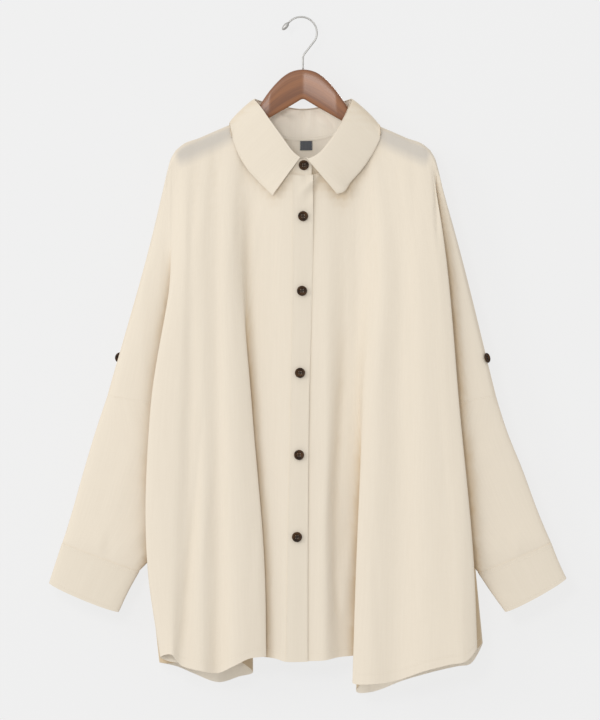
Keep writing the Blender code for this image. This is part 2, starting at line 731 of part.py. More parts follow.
def make_stand(maker):
    """The collar stand, from the neckline up to just inside the roll."""
    rows = list(STAND_OVER_END)
    for row in COLLAR:
        under = max(0, 1 - (row.angle + 360) / UNDER_STAND_REACH)
        inward = 1 - STAND_TUCK_IN / math.hypot(row.roll_x, row.roll_fore)
        fore = row.roll_fore * inward - UNDERLAP * under
        drop = row.roll_drop + STAND_TUCK_DOWN
        rows.append(Stand(row.name, row.roll_x * inward, drop, fore, row.angle, row.steps + 1))
    rows += STAND_UNDER_END
    steps = [row.steps for row in rows]
    top = weave([(row.top_x, row.top_fore, row.top_drop) for row in rows], steps)
    base = along_neck(rows, steps)
    rise = top - base
    base += rise * (STAND_SEAM_GAP / np.linalg.norm(rise, axis=1))[:, None]
    points = np.array([to_frame(top + (base - top) * share) for share in STAND_ROWS])
    surface = sheet(points)
    tree = tree_of(surface)
    maker.add_cloth("collar_stand", surface, COLLAR_CLOTH)
    return tree


def make_fall(maker, under):
    """The collar's fall, rolled over the stand and kept clear of the surfaces under it."""
    steps = [row.steps for row in COLLAR]
    roll = weave([(row.roll_x, row.roll_fore, row.roll_drop) for row in COLLAR], steps)
    edge = weave([(row.edge_x, row.edge_fore, row.edge_drop) for row in COLLAR], steps)
    outward = roll * (1, 1, 0)
    outward /= np.linalg.norm(outward, axis=1)[:, None]
    rows = []
    for share in FALL_ROWS:
        bulge = COLLAR_BULGE * math.sqrt(4 * share * (1 - share))
        rows.append(to_frame(roll + (edge - roll) * share + outward * bulge))
    points = np.array(rows)
    points = clear_of(points, under, COLLAR_CLOTH + COLLAR_REST)
    surface = sheet(points)
    maker.add_cloth("collar_fall", surface, COLLAR_CLOTH)


def make_label(maker, back):
    """The label inside the back neck, on the back's inner side."""
    rows = []
    for drop in np.linspace(LABEL_TOP, LABEL_TOP + LABEL_HEIGHT, 4):
        row = []
        for x in np.linspace(LABEL_LEFT, LABEL_RIGHT, 5):
            hit = back.ray_cast(in_metres((x, 0, -drop)), BACKWARD)[0]
            row.append((x, hit.y / MM - CLOTH - GAP - LABEL_CLOTH, -drop))
        rows.append(row)
    surface = sheet(np.array(rows), flip=True)
    maker.add_cloth("label", surface, LABEL_CLOTH, "label")


def button_profile():
    """Half of a button's outline, from the middle of its face out and under to its back."""
    return (
        (0, BUTTON_THICK * 0.6),
        (BUTTON_RADIUS * 0.55, BUTTON_THICK * 0.6),
        (BUTTON_RADIUS * 0.72, BUTTON_THICK),
        (BUTTON_RADIUS * 0.9, BUTTON_THICK * 0.95),
        (BUTTON_RADIUS, BUTTON_THICK * 0.6),
        (BUTTON_RADIUS * 0.75, 0),
        (0, 0),
    )


def make_button_mesh(maker):
    """One button with its rim and four holes, which all the buttons share."""
    profile = bmesh.new()
    verts = [profile.verts.new((x * MM, 0, z * MM)) for x, z in button_profile()]
    for i in range(len(verts) - 1):
        profile.edges.new((verts[i], verts[i + 1]))
    outline = bpy.data.meshes.new("button_outline")
    profile.to_mesh(outline)
    profile.free()
    blank = bpy.data.objects.new("button_blank", outline)
    maker.cutters.objects.link(blank)
    turn = blank.modifiers.new("turn", "SCREW")
    turn.steps = BUTTON_SIDES
    turn.render_steps = BUTTON_SIDES
    turn.use_merge_vertices = True
    turn.merge_threshold = WELD * MM

    drills = bmesh.new()
    for k in range(4):
        angle = math.radians(45 + 90 * k)
        place = Vector((math.cos(angle), math.sin(angle), 0)) * HOLE_SPACING / math.sqrt(2) * MM
        made = bmesh.ops.create_cone(
            drills, cap_ends=True, segments=6, radius1=HOLE_RADIUS * MM,
            radius2=HOLE_RADIUS * MM, depth=4 * BUTTON_THICK * MM,
        )
        bmesh.ops.translate(drills, verts=made["verts"], vec=place)
    data = bpy.data.meshes.new("button_drills")
    drills.to_mesh(data)
    drills.free()
    cutter = bpy.data.objects.new("button_drills", data)
    cutter.display_type = "WIRE"
    cutter.hide_render = True
    maker.cutters.objects.link(cutter)
    cut = blank.modifiers.new("holes", "BOOLEAN")
    cut.operation = "DIFFERENCE"
    cut.object = cutter

    graph = bpy.context.evaluated_depsgraph_get()
    mesh = bpy.data.meshes.new_from_object(blank.evaluated_get(graph))
    mesh.name = "button"
    mesh.set_sharp_from_angle(angle=math.radians(40))
    bpy.data.objects.remove(blank)
    return mesh


def make_front_buttons(maker, stand, placket):
    """The buttons down the front, the first of them on the collar stand."""
    for number, button in enumerate(FRONT_BUTTONS, start=1):
        carrier = stand if number == 1 else placket
        start = in_metres((button.side, -IN_FRONT, -button.drop))
        hit, normal = carrier.ray_cast(start, BACKWARD)[:2]
        maker.seat_button(f"button_{number}", hit, normal)


def make_tab_buttons(maker, trees):
    """The button of each roll-up tab, on the arm's outer edge."""
    for name, side in (("right", -1), ("left", 1)):
        place = to_frame((side * TAB_BUTTON.side, TAB_BUTTON_FORE, TAB_BUTTON.drop))
        maker.add_button(f"tab_button_{name}", trees[f"front_{name}"], place)


def make_hanger(maker):
    """The wooden hanger, one smooth body through the sections of its two arms."""
    stations = [(-arm.out, arm) for arm in reversed(HANGER_ARM[1:])]
    stations += [(arm.out, arm) for arm in HANGER_ARM]
    rows = []
    for x, arm in stations:
        middle = (arm.top + arm.bottom) / 2
        half = (arm.bottom - arm.top) / 2
        ring = []
        for k in range(WOOD_SIDES + 1):
            turn = 2 * math.pi * k / WOOD_SIDES
            across = math.copysign(abs(math.cos(turn)) ** 0.6, math.cos(turn))
            up = math.copysign(abs(math.sin(turn)) ** 0.8, math.sin(turn))
            ring.append((x, WOOD_HALF_THICK * across, middle - half * up))
        rows.append(to_frame(ring))
    surface = sheet(np.array(rows), closed=True)
    bmesh.ops.holes_fill(surface, edges=surface.edges, sides=WOOD_SIDES)
    bmesh.ops.recalc_face_normals(surface, faces=surface.faces)
    maker.add_mesh("hanger", surface, "wood")


def make_hook(maker):
    """The wire hook with the bead on its tip. The rail bears on the inside of its bend."""
    radius = HOOK_RADIUS + WIRE_RADIUS
    route = []
    for k in range(HOOK_ARC_STEPS + 1):
        turn = math.radians(HOOK_START + (HOOK_END - HOOK_START) * k / HOOK_ARC_STEPS)
        route.append((radius * math.cos(turn), 0, radius * math.sin(turn) - HOOK_RADIUS))
    neck = [route[-1]] + [(x, 0, -drop) for x, drop in HOOK_NECK]
    neck.append((STEM_X, 0, -(HANGER_ARM[0].top - GAP)))
    route += list(weave(neck, [HOOK_NECK_STEPS] * (len(neck) - 1))[1:])
    curve = bpy.data.curves.new("hook", "CURVE")
    curve.dimensions = "3D"
    curve.bevel_depth = WIRE_RADIUS * MM
    curve.bevel_resolution = 2
    curve.use_fill_caps = True
    spline = curve.splines.new("POLY")
    spline.points.add(len(route) - 1)
    for point, place in zip(spline.points, route):
        point.co = (*(value * MM for value in place), 1)
    maker.add("hook", curve, "steel")

    along = Vector(route[0]) - Vector(route[1])
    along.normalize()
    bead = bmesh.new()
    bmesh.ops.create_uvsphere(bead, u_segments=14, v_segments=10, radius=BEAD_RADIUS * MM)
    bmesh.ops.scale(bead, vec=(1, 1, BEAD_LENGTH / 2 / BEAD_RADIUS), verts=bead.verts)
    piece = maker.add_mesh("hook_tip", bead, "steel")
    piece.location = (Vector(route[0]) + along * (BEAD_LENGTH / 2 + GAP)) * MM
    piece.rotation_euler = along.to_track_quat("Z", "Y").to_euler()


def main():
    for leftover in list(bpy.data.objects):
        bpy.data.objects.remove(leftover)
    maker = Maker()
    fronts = make_fronts(maker)
    back = make_back(maker)
    placket = make_placket(maker)
    make_sleeves(maker)
    make_cuffs(maker)
    stand = make_stand(maker)
    make_fall(maker, (stand, fronts["front_right"], fronts["front_left"], back))
    make_label(maker, back)
    make_front_buttons(maker, stand, placket)
    make_tab_buttons(maker, fronts)
    make_hanger(maker)
    make_hook(maker)


main()
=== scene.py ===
"""A cream oversized shirt on a wooden hanger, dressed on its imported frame.

The tables are in millimetres, in the garment's own frame: out from the hanger's stem, forward
of the hanger's plane, and drop below the hook's seat. Left and right are the wearer's.
"""

import logging
import math
from dataclasses import dataclass, field
from enum import Enum
from typing import Callable, NamedTuple, Sequence

import bmesh
import bpy
import numpy as np
from mathutils import Matrix, Vector
from mathutils.bvhtree import BVHTree


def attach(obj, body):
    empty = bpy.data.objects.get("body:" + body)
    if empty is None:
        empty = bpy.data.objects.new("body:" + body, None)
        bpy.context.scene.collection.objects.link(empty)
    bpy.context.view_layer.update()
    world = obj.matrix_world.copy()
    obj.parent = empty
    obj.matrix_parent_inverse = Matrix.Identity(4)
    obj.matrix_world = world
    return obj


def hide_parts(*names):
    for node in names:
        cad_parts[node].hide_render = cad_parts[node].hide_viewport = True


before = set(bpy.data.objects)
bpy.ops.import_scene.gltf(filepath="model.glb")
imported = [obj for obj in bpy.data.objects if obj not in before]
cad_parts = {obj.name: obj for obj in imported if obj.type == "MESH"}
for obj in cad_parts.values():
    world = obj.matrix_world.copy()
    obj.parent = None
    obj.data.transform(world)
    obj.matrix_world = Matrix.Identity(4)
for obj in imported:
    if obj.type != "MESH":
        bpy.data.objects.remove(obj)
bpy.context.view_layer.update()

LOG = logging.getLogger("shirt")
MM = 0.001
WELD = 0.05
STEM_X = 3.0
SWEEP_DEPTH = 20.0
SWEEP_REACH = 240.0
CREASE_WAVE = 5.0
CREASE_BEND = 0.35
CREASE_TAPER = 0.8
FORWARD = Vector((0, -1, 0))
BACKWARD = Vector((0, 1, 0))
Colour = tuple[float, float, float]


class Side(Enum):
    """The wearer's right or left, as the sign of a distance out from the stem."""

    RIGHT = -1
    LEFT = 1


class Slot(Enum):
    """The record's material slots."""

    CLOTH = "cloth"
    LABEL = "label"
    BUTTONS = "buttons"
    WOOD = "wood"
    STEEL = "steel"


class Spot(NamedTuple):
    """A place on the shoulder line: distance out and drop."""

    out: float
    drop: float


class Fold(NamedTuple):
    """A fold line of the body, and the stretches of cloth up to the next one."""

    name: str
    top: float
    chest: float
    waist: float
    hip: float
    hem: float
    chest_fore: float
    waist_fore: float
    hem_fore: float
    drop: float
    steps: int


class Wing(NamedTuple):
    """A fold line of the upper arm, which ends at the sleeve seam."""

    name: str
    top: float
    chest: float
    waist: float
    rise: float
    chest_fore: float
    waist_fore: float
    steps: int


class Section(NamedTuple):
    """A section of a sleeve or cuff, from its outer edge to its inner edge."""

    name: str
    out: float
    drop: float
    inner_out: float
    inner_drop: float
    fore: float
    sag: float


class CollarRow(NamedTuple):
    """Where the collar rolls over and where its outer edge lies."""

    name: str
    roll_x: float
    roll_drop: float
    roll_fore: float
    edge_x: float
    edge_drop: float
    edge_fore: float
    angle: float
    steps: int


class StandRow(NamedTuple):
    """A place along the collar stand: its top edge, and the angle of the neckline below."""

    name: str
    top_x: float
    top_drop: float
    top_fore: float
    angle: float
    steps: int


class Panel(NamedTuple):
    """Which way a panel faces, and how far its neckline dips and stands forward."""

    facing: int
    neck_dip: float
    neck_fore: float


class Line(NamedTuple):
    """A fold line in use on one side of the body."""

    side: int
    fold: Fold | Wing
    steps: int


class Crease(NamedTuple):
    """A soft ridge, or a trough where height is negative, between two places of the cloth."""

    name: str
    x0: float
    drop0: float
    x1: float
    drop1: float
    width: float
    height: float


class Arm(NamedTuple):
    """A section of the hanger's arm: distance out, and its top and bottom."""

    out: float
    top: float
    bottom: float


class Cut(NamedTuple):
    """The size that a piece of cloth was cut to, in metres and square metres."""

    width: float
    length: float
    area: float


class Half(NamedTuple):
    """The tables of one side of the garment."""

    front: tuple[Fold, ...]
    back: tuple[Fold, ...]
    wing: tuple[Wing, ...]
    sleeve: tuple[Section, ...]
    cuff: tuple[Section, ...]


SHOULDER_LINE = (
    Spot(85, 149),
    Spot(111, 161),
    Spot(134, 171),
    Spot(157, 181),
    Spot(180, 190),
    Spot(191, 199),
)
FALL_LINE = (
    Spot(191, 199),
    Spot(198, 211),
    Spot(203, 228),
    Spot(210, 258),
)
FALL_END = 252.0
RIGHT_FRONT = (
    Fold("free edge", -15, -15, -9, -7, -7, 29.5, 32.5, 34.5, 966, 2),
    Fold("placket seam", 16, 16, 19, 24, 26, 31, 34, 36, 966, 2),
    Fold("centre hollow", 44, 50, 52, 45, 43, 26, 28, 29, 961, 3),
    Fold("deep fold turn", 72, 79, 91, 90, 90, 21, 21, 21, 956, 3),
    Fold("deep fold edge", 85, 94, 76, 57, 55, 27, 34, 37, 958, 3),
    Fold("fold face", 98, 106, 94, 80, 80, 32, 42, 46, 961, 2),
    Fold("first crest", 109, 116, 112, 106, 105, 32.5, 42.5, 47, 973, 2),
    Fold("first hollow", 125, 130, 129, 127, 129, 29.5, 36.5, 35, 983, 2),
    Fold("second crest", 144, 150, 150, 150, 151, 30.5, 38.5, 43, 980, 2),
    Fold("second hollow", 160, 166, 169, 174, 183, 28.5, 34.5, 34, 971, 2),
    Fold("third crest", 174, 177, 187, 196, 197, 29, 37, 40, 955, 2),
    Fold("side edge", 188, 190, 229, 232, 214, 22, 26, 25, 959, 3),
    Fold("side return", 197, 197, 208, 211, 203, 18, 15, 14, 965, 2),
    Fold("inner return", 206, 199, 160, 152, 187, 17, 13, 12, 968, 2),
    Fold("underarm", 215, 203, 149, 140, 181, 15, 1, 1, 970, 3),
)
LEFT_FRONT = (
    Fold("under edge", -14, -16, -21, -25, -26, 26.5, 29.5, 31.5, 965, 2),
    Fold("placket side", 18, 22, 19, 15, 15, 28.5, 31.5, 33.5, 965, 2),
    Fold("centre crest", 40, 40, 37, 34, 33, 28, 32, 34, 964, 2),
    Fold("centre hollow", 60, 66, 59, 52, 57, 22, 20, 21, 959, 3),
    Fold("deep fold turn", 72, 84, 84, 107, 112, 21, 18, 17, 959, 3),
    Fold("deep fold edge", 85, 103, 90, 79, 74, 27, 34, 37, 997, 3),
    Fold("fold face", 98, 118, 109, 103, 98, 32, 41, 45, 1000, 2),
    Fold("soft hollow", 122, 145, 145, 142, 140, 28, 34, 38, 994, 2),
    Fold("broad crest", 146, 168, 178, 181, 181, 31, 39, 43, 980, 2),
    Fold("outer face", 162, 188, 205, 214, 220, 29, 36, 40, 970, 2),
    Fold("side crest", 175, 200, 220, 237, 244, 27, 33, 36, 965, 2),
    Fold("side edge", 188, 210, 235, 257, 261, 22, 26, 26, 946, 3),
    Fold("side return", 197, 206, 221, 243, 249, 17, 15, 14, 956, 2),
    Fold("inner return", 206, 200, 160, 175, 228, 14, 13, 12, 962, 2),
    Fold("underarm", 215, 194, 149, 165, 222, 11, 1, 1, 964, 3),
)
RIGHT_BACK = (
    Fold("centre", 0, 0, 0, 0, 0, 25, 27, 28, 952, 2),
    Fold("centre crest", 30, 46, 46, 46, 46, 28, 31, 33, 952, 3),
    Fold("deep fold turn", 72, 79, 95, 104, 104, 21, 21, 20, 956, 3),
    Fold("deep fold edge", 85, 94, 86, 76, 75, 27, 34, 37, 983, 3),
    Fold("fold face", 98, 106, 102, 97, 97, 32, 41, 45, 990, 2),
    Fold("hollow", 123, 130, 129, 127, 127, 26, 31, 34, 998, 2),
    Fold("outer crest", 150, 156, 160, 161, 162, 31, 39, 42, 986, 2),
    Fold("outer hollow", 172, 174, 187, 191, 190, 27, 32, 34, 974, 2),
    Fold("side edge", 188, 188, 226, 229, 216, 22, 26, 25, 968, 3),
    Fold("side return", 197, 196, 207, 209, 204, 18, 15, 14, 969, 2),
)
LEFT_BACK = (
    Fold("centre", 0, 0, 0, 0, 0, 25, 27, 28, 952, 2),
    Fold("centre crest", 30, 46, 46, 46, 46, 28, 31, 33, 952, 3),
    Fold("deep fold turn", 72, 84, 85, 107, 112, 21, 21, 20, 956, 3),
    Fold("deep fold edge", 85, 101, 90, 82, 80, 27, 34, 37, 1012, 3),
    Fold("fold face", 98, 118, 112, 106, 104, 32, 41, 45, 1013, 2),
    Fold("hollow", 123, 145, 148, 150, 152, 27, 32, 35, 995, 2),
    Fold("outer crest", 150, 172, 186, 193, 194, 31, 39, 42, 983, 2),
    Fold("outer hollow", 167, 190, 210, 226, 232, 28, 34, 37, 974, 2),
    Fold("side crest", 178, 200, 225, 244, 252, 26, 32, 34, 970, 2),
    Fold("side edge", 188, 209, 236, 260, 270, 22, 26, 25, 938, 3),
    Fold("side return", 197, 205, 223, 246, 258, 17, 15, 14, 950, 2),
)
RIGHT_WING = (
    Wing("arm face", 230, 213, 229, 13, 11, 10, 3),
    Wing("arm bend", 246, 223, 287, 23, 6, 5, 2),
    Wing("arm edge", FALL_END, 226, 293, 24, 0, 0, 0),
)
LEFT_WING = (
    Wing("arm face", 230, 213, 228, 13, 9, 10, 3),
    Wing("arm bend", 246, 226, 283, 23, 6, 5, 2),
    Wing("arm edge", FALL_END, 229, 289, 24, 0, 0, 0),
)
RIGHT_SLEEVE = (
    Section("elbow", 311, 620, 158, 654, 11, 0),
    Section("forearm", 329, 680, 171, 715, 11, 0),
    Section("lower", 346, 740, 194, 774, 10, 0),
    Section("gathers", 357, 776, 226, 810, 10, 1),
    Section("cuff seam", 361, 787, 245, 830, 8, 2),
)
LEFT_SLEEVE = (
    Section("elbow", 306, 620, 158, 654, 11, 0),
    Section("forearm", 330, 680, 176, 715, 11, 0),
    Section("lower", 352, 740, 208, 774, 10, 0),
    Section("gathers", 367, 776, 246, 812, 10, 1),
    Section("cuff seam", 372, 787, 262, 832, 8, 2),
)
RIGHT_CUFF = (
    Section("seam", 361.3, 787.6, 245.3, 830.6, 8, 2),
    Section("middle", 371, 817, 262, 861, 8, 3.5),
    Section("end", 381, 848, 276, 891, 8, 5),
)
LEFT_CUFF = (
    Section("seam", 372.3, 787.6, 262.3, 832.6, 8, 2),
    Section("middle", 383, 815, 282, 862, 8, 3.5),
    Section("end", 395, 841, 303, 891, 8, 5),
)
COLLAR_ROWS = (
    CollarRow("right point", -4, 210, 38, -46, 267, 40, -7, 2),
    CollarRow("right front", -15, 201, 38, -66, 247, 30, -16, 2),
    CollarRow("right breast", -32, 178, 34, -84, 227, 24, -31, 2),
    CollarRow("right slope", -50, 153, 27, -98, 203, 18, -49, 2),
    CollarRow("right neck", -64, 133, 17, -107, 177, 12, -67, 2),
    CollarRow("right side", -73, 122, 2, -110, 158, 0, -90, 2),
    CollarRow("right nape", -64, 124, -15, -104, 170, -24, -122, 2),
    CollarRow("right back", -36, 131, -24, -60, 189, -34, -152, 2),
    CollarRow("nape", 0, 136, -27, 0, 194, -36, -180, 2),
    CollarRow("left back", 36, 131, -24, 60, 189, -34, -208, 2),
    CollarRow("left nape", 64, 124, -15, 104, 170, -24, -238, 2),
    CollarRow("left side", 73, 122, 2, 112, 159, 0, -270, 2),
    CollarRow("left neck", 67, 139, 17, 116, 178, 12, -293, 2),
    CollarRow("left slope", 57, 158, 27, 107, 200, 18, -311, 2),
    CollarRow("left breast", 41, 183, 34, 90, 226, 24, -329, 2),
    CollarRow("left front", 24, 203, 38, 71, 248, 30, -344, 2),
    CollarRow("left tip", 9, 211, 38, 62, 261, 38, -350, 2),
    CollarRow("left point", 4, 210, 38, 51, 265, 40, -353, 0),
)
STAND_OVER_END = (
    StandRow("buttonhole end", 13, 217, 35, 9, 1),
    StandRow("over middle", 4, 212, 35.5, 1, 1),
)
STAND_UNDER_END = (
    StandRow("under middle", -4, 212, 30, -361, 1),
    StandRow("button end", -13, 217, 29.5, -369, 0),
)
HANGER_ARM = (
    Arm(0, 77.5, 122),
    Arm(10, 78.6, 127),
    Arm(20, 82, 133),
    Arm(30, 88.5, 138.6),
    Arm(40, 98, 144.2),
    Arm(50, 109.5, 150),
    Arm(60, 123.5, 155.5),
    Arm(70, 138.5, 161),
    Arm(84, 153, 169),
    Arm(111, 163, 183.5),
    Arm(134, 172.6, 195.5),
    Arm(157, 182.6, 206),
    Arm(174, 190, 214),
    Arm(184, 195.6, 216),
    Arm(187, 199.5, 212),
)
FRONT_CREASES = (
    Crease("under right collar", -60, 268, -92, 480, 7, 0.9),
    Crease("right chest trough", -78, 262, -84, 420, 9, -0.9),
    Crease("right chest ridge", -150, 205, -166, 470, 10, 1.1),
    Crease("right shoulder dent", -132, 190, -138, 300, 8, -1.0),
    Crease("right outer ridge", -172, 215, -205, 430, 8, 0.8),
    Crease("left of placket", -36, 250, -30, 470, 8, 0.7),
    Crease("right lower ridge", -62, 640, -66, 930, 7, 0.8),
    Crease("right hip trough", -150, 560, -178, 950, 5, -1.6),
    Crease("right hip ridge", -138, 600, -160, 930, 7, 1.0),
    Crease("left waist crumple", 150, 420, 158, 620, 6, 0.8),
    Crease("left hem ripple", 110, 760, 112, 960, 6, -0.9),
    Crease("first button pull", -6, 228, 26, 262, 6, -1.0),
    Crease("second button pull", 20, 232, 4, 268, 6, 0.9),
    Crease("left chest ridge", 62, 282, 72, 520, 10, 0.9),
    Crease("left chest trough", 96, 250, 108, 470, 11, -1.0),
    Crease("left shoulder ridge", 130, 190, 148, 400, 9, 0.9),
    Crease("left shoulder dent", 158, 200, 176, 360, 8, -0.9),
    Crease("left hip ridge", 130, 560, 134, 900, 14, 1.0),
    Crease("left hip trough", 200, 520, 222, 880, 12, -0.9),
    Crease("left lower ridge", 60, 800, 56, 900, 6, 1.1),
    Crease("left placket side", 30, 480, 24, 800, 7, -0.7),
    Crease("centre valley", 63, 430, 42, 830, 9, -2.4),
    Crease("centre valley ridge", 78, 760, 60, 900, 7, 1.6),
    Crease("left arm crease", 194, 215, 205, 330, 3.5, -1.6),
    Crease("left arm second crease", 196, 245, 204, 350, 3, -1.2),
    Crease("band fold", -12, 214, 3, 268, 3.5, 1.5),
    Crease("band fold right", 32, 220, -8, 272, 4, 2.6),
    Crease("band hollow", 34, 238, -2, 284, 4.5, -1.6),
)
BACK_CREASES = (
    Crease("left blade ridge", 70, 230, 76, 520, 10, 1.0),
    Crease("right blade trough", -64, 240, -70, 500, 10, -0.9),
    Crease("right blade ridge", -120, 210, -140, 470, 9, 1.0),
    Crease("left shoulder dent", 150, 210, 170, 420, 9, -0.9),
    Crease("centre ridge", 8, 260, 4, 620, 12, 0.9),
    Crease("centre trough", -22, 480, -20, 860, 10, -0.8),
    Crease("left hip ridge", 128, 600, 130, 920, 12, 1.0),
    Crease("right hip trough", -160, 560, -176, 900, 10, -0.9),
    Crease("left lower trough", 36, 720, 30, 930, 8, -0.8),
)
NECK_CREASES = (
    Crease("nape pleat", -2, 122, 3, 170, 3, 2.6),
    Crease("nape pleat hollow", 7, 126, 15, 168, 4, -2.2),
    Crease("right neck crease", -46, 136, -12, 160, 3.5, 2.2),
    Crease("right neck hollow", -34, 134, -8, 150, 3, -1.8),
    Crease("left neck crease", 18, 138, 50, 162, 3.5, 2.2),
    Crease("left neck hollow", 24, 152, 44, 168, 3.5, -1.8),
)
SLEEVE_CREASES = (
    Crease("right elbow drag", -300, 640, -200, 690, 9, 1.0),
    Crease("right elbow trough", -310, 665, -220, 720, 9, -0.8),
    Crease("right forearm ridge", -250, 620, -290, 780, 12, 0.9),
    Crease("right gather", -300, 770, -306, 812, 5, 1.1),
    Crease("right gather trough", -286, 765, -294, 816, 5, -1.0),
    Crease("left elbow drag", 300, 636, 214, 700, 10, 0.9),
    Crease("left forearm trough", 250, 640, 300, 780, 12, -0.9),
    Crease("left gather", 318, 770, 322, 812, 5, 1.1),
    Crease("left gather trough", 304, 765, 310, 818, 5, -1.0),
)
HALVES = {
    Side.RIGHT: Half(RIGHT_FRONT, RIGHT_BACK, RIGHT_WING, RIGHT_SLEEVE, RIGHT_CUFF),
    Side.LEFT: Half(LEFT_FRONT, LEFT_BACK, LEFT_WING, LEFT_SLEEVE, LEFT_CUFF),
}


def spaced(stops: Sequence[float], counts: Sequence[int]) -> list[float]:
    """Levels between stops, each stretch cut into its own count.

    Args:
        stops: The levels that are kept.
        counts: How many steps go from each stop to the next.

    Returns:
        All the levels in order.
    """
    levels = [stops[0]]
    for start, end, count in zip(stops, stops[1:], counts):
        levels.extend(start + (end - start) * (k + 1) / count for k in range(count))
    return levels


def smooth(knots: Sequence[float], values: np.ndarray, at: Sequence[float]) -> np.ndarray:
    """Values between knots, on a curve that passes through each of them.

    Args:
        knots: Where the values are known.
        values: The value, or point, at each knot.
        at: The places to read.

    Returns:
        One value for each place.
    """
    knots = np.asarray(knots, float)
    values = np.asarray(values, float)
    widths = np.diff(knots)
    rates = (np.diff(values, axis=0).T / widths).T
    slopes = np.empty_like(values)
    slopes[0] = rates[0]
    slopes[-1] = rates[-1]
    for i in range(1, len(knots) - 1):
        slopes[i] = (rates[i - 1] * widths[i] + rates[i] * widths[i - 1]) / (widths[i - 1] + widths[i])
    at = np.atleast_1d(np.asarray(at, float))
    i = np.clip(np.searchsorted(knots, at) - 1, 0, len(widths) - 1)
    shape = (-1,) + (1,) * (values.ndim - 1)
    width = widths[i].reshape(shape)
    s = ((at - knots[i]) / widths[i]).reshape(shape)
    return (
        (1 + 2 * s) * (1 - s) ** 2 * values[i]
        + s * (1 - s) ** 2 * width * slopes[i]
        + s * s * (3 - 2 * s) * values[i + 1]
        + s * s * (s - 1) * width * slopes[i + 1]
    )


def weave(points: Sequence, steps: Sequence[int]) -> np.ndarray:
    """A curve through points, cut into the given number of stretches after each of them.

    Args:
        points: The points that the curve passes through.
        steps: The stretches from each point to the next.

    Returns:
        The points along the curve.
    """
    points = np.asarray(points, float)
    chords = np.sqrt(np.linalg.norm(np.diff(points, axis=0), axis=1) + 0.01)
    knots = np.concatenate(([0], np.cumsum(chords)))
    at = [knots[0]]
    for i, count in enumerate(steps[: len(chords)]):
        at.extend(knots[i] + chords[i] * (k + 1) / count for k in range(count))
    return smooth(knots, points, at)


def sweep(out: np.ndarray | float) -> np.ndarray | float:
    """How far the hanger's plane has come forward at a distance from the stem."""
    return SWEEP_DEPTH * np.minimum(np.abs(out) / SWEEP_REACH, 1) ** 2


def to_frame(points: Sequence, facing: int = 1) -> np.ndarray:
    """Points brought into x, y and z.

    Args:
        points: Distance out, distance forward and drop of each.
        facing: 1 on the garment's front and -1 on its back.

    Returns:
        The points in the garment's frame.
    """
    points = np.asarray(points, float)
    x = points[..., 0]
    return np.stack((x, -sweep(x) - facing * points[..., 1], -points[..., 2]), axis=-1)


def in_metres(point: Sequence[float]) -> Vector:
    """A point of the garment's own frame, in the part's frame."""
    return Vector((point[0] + STEM_X, point[1], point[2])) * MM


def path_lengths(points: np.ndarray) -> np.ndarray:
    """How far along a path each of its points is."""
    return np.concatenate(([0], np.cumsum(np.linalg.norm(np.diff(points, axis=0), axis=1))))


def squared(turn: np.ndarray, squareness: float) -> np.ndarray:
    """A wave from -1 to 1, less round where the squareness is under 1."""
    return np.sign(turn) * np.abs(turn) ** squareness


def new_object(name: str, data: bpy.types.ID) -> bpy.types.Object:
    """An object of the scene.

    Args:
        name: Its name.
        data: Its mesh, curve, light or camera.

    Returns:
        The object.
    """
    made = bpy.data.objects.new(name, data)
    bpy.context.scene.collection.objects.link(made)
    return made


def new_mesh(name: str, edited: bmesh.types.BMesh) -> bpy.types.Mesh:
    """A mesh from an edited one.

    Args:
        name: Its name.
        edited: The edited mesh, which is freed.

    Returns:
        The mesh.
    """
    data = bpy.data.meshes.new(name)
    edited.to_mesh(data)
    edited.free()
    return data


def settled(step: bpy.types.Object) -> bpy.types.Mesh:
    """The final mesh of an object that is only a step on the way.

    Args:
        step: The object, which is removed.

    Returns:
        The mesh.
    """
    graph = bpy.context.evaluated_depsgraph_get()
    data = bpy.data.meshes.new_from_object(step.evaluated_get(graph))
    bpy.data.objects.remove(step)
    return data


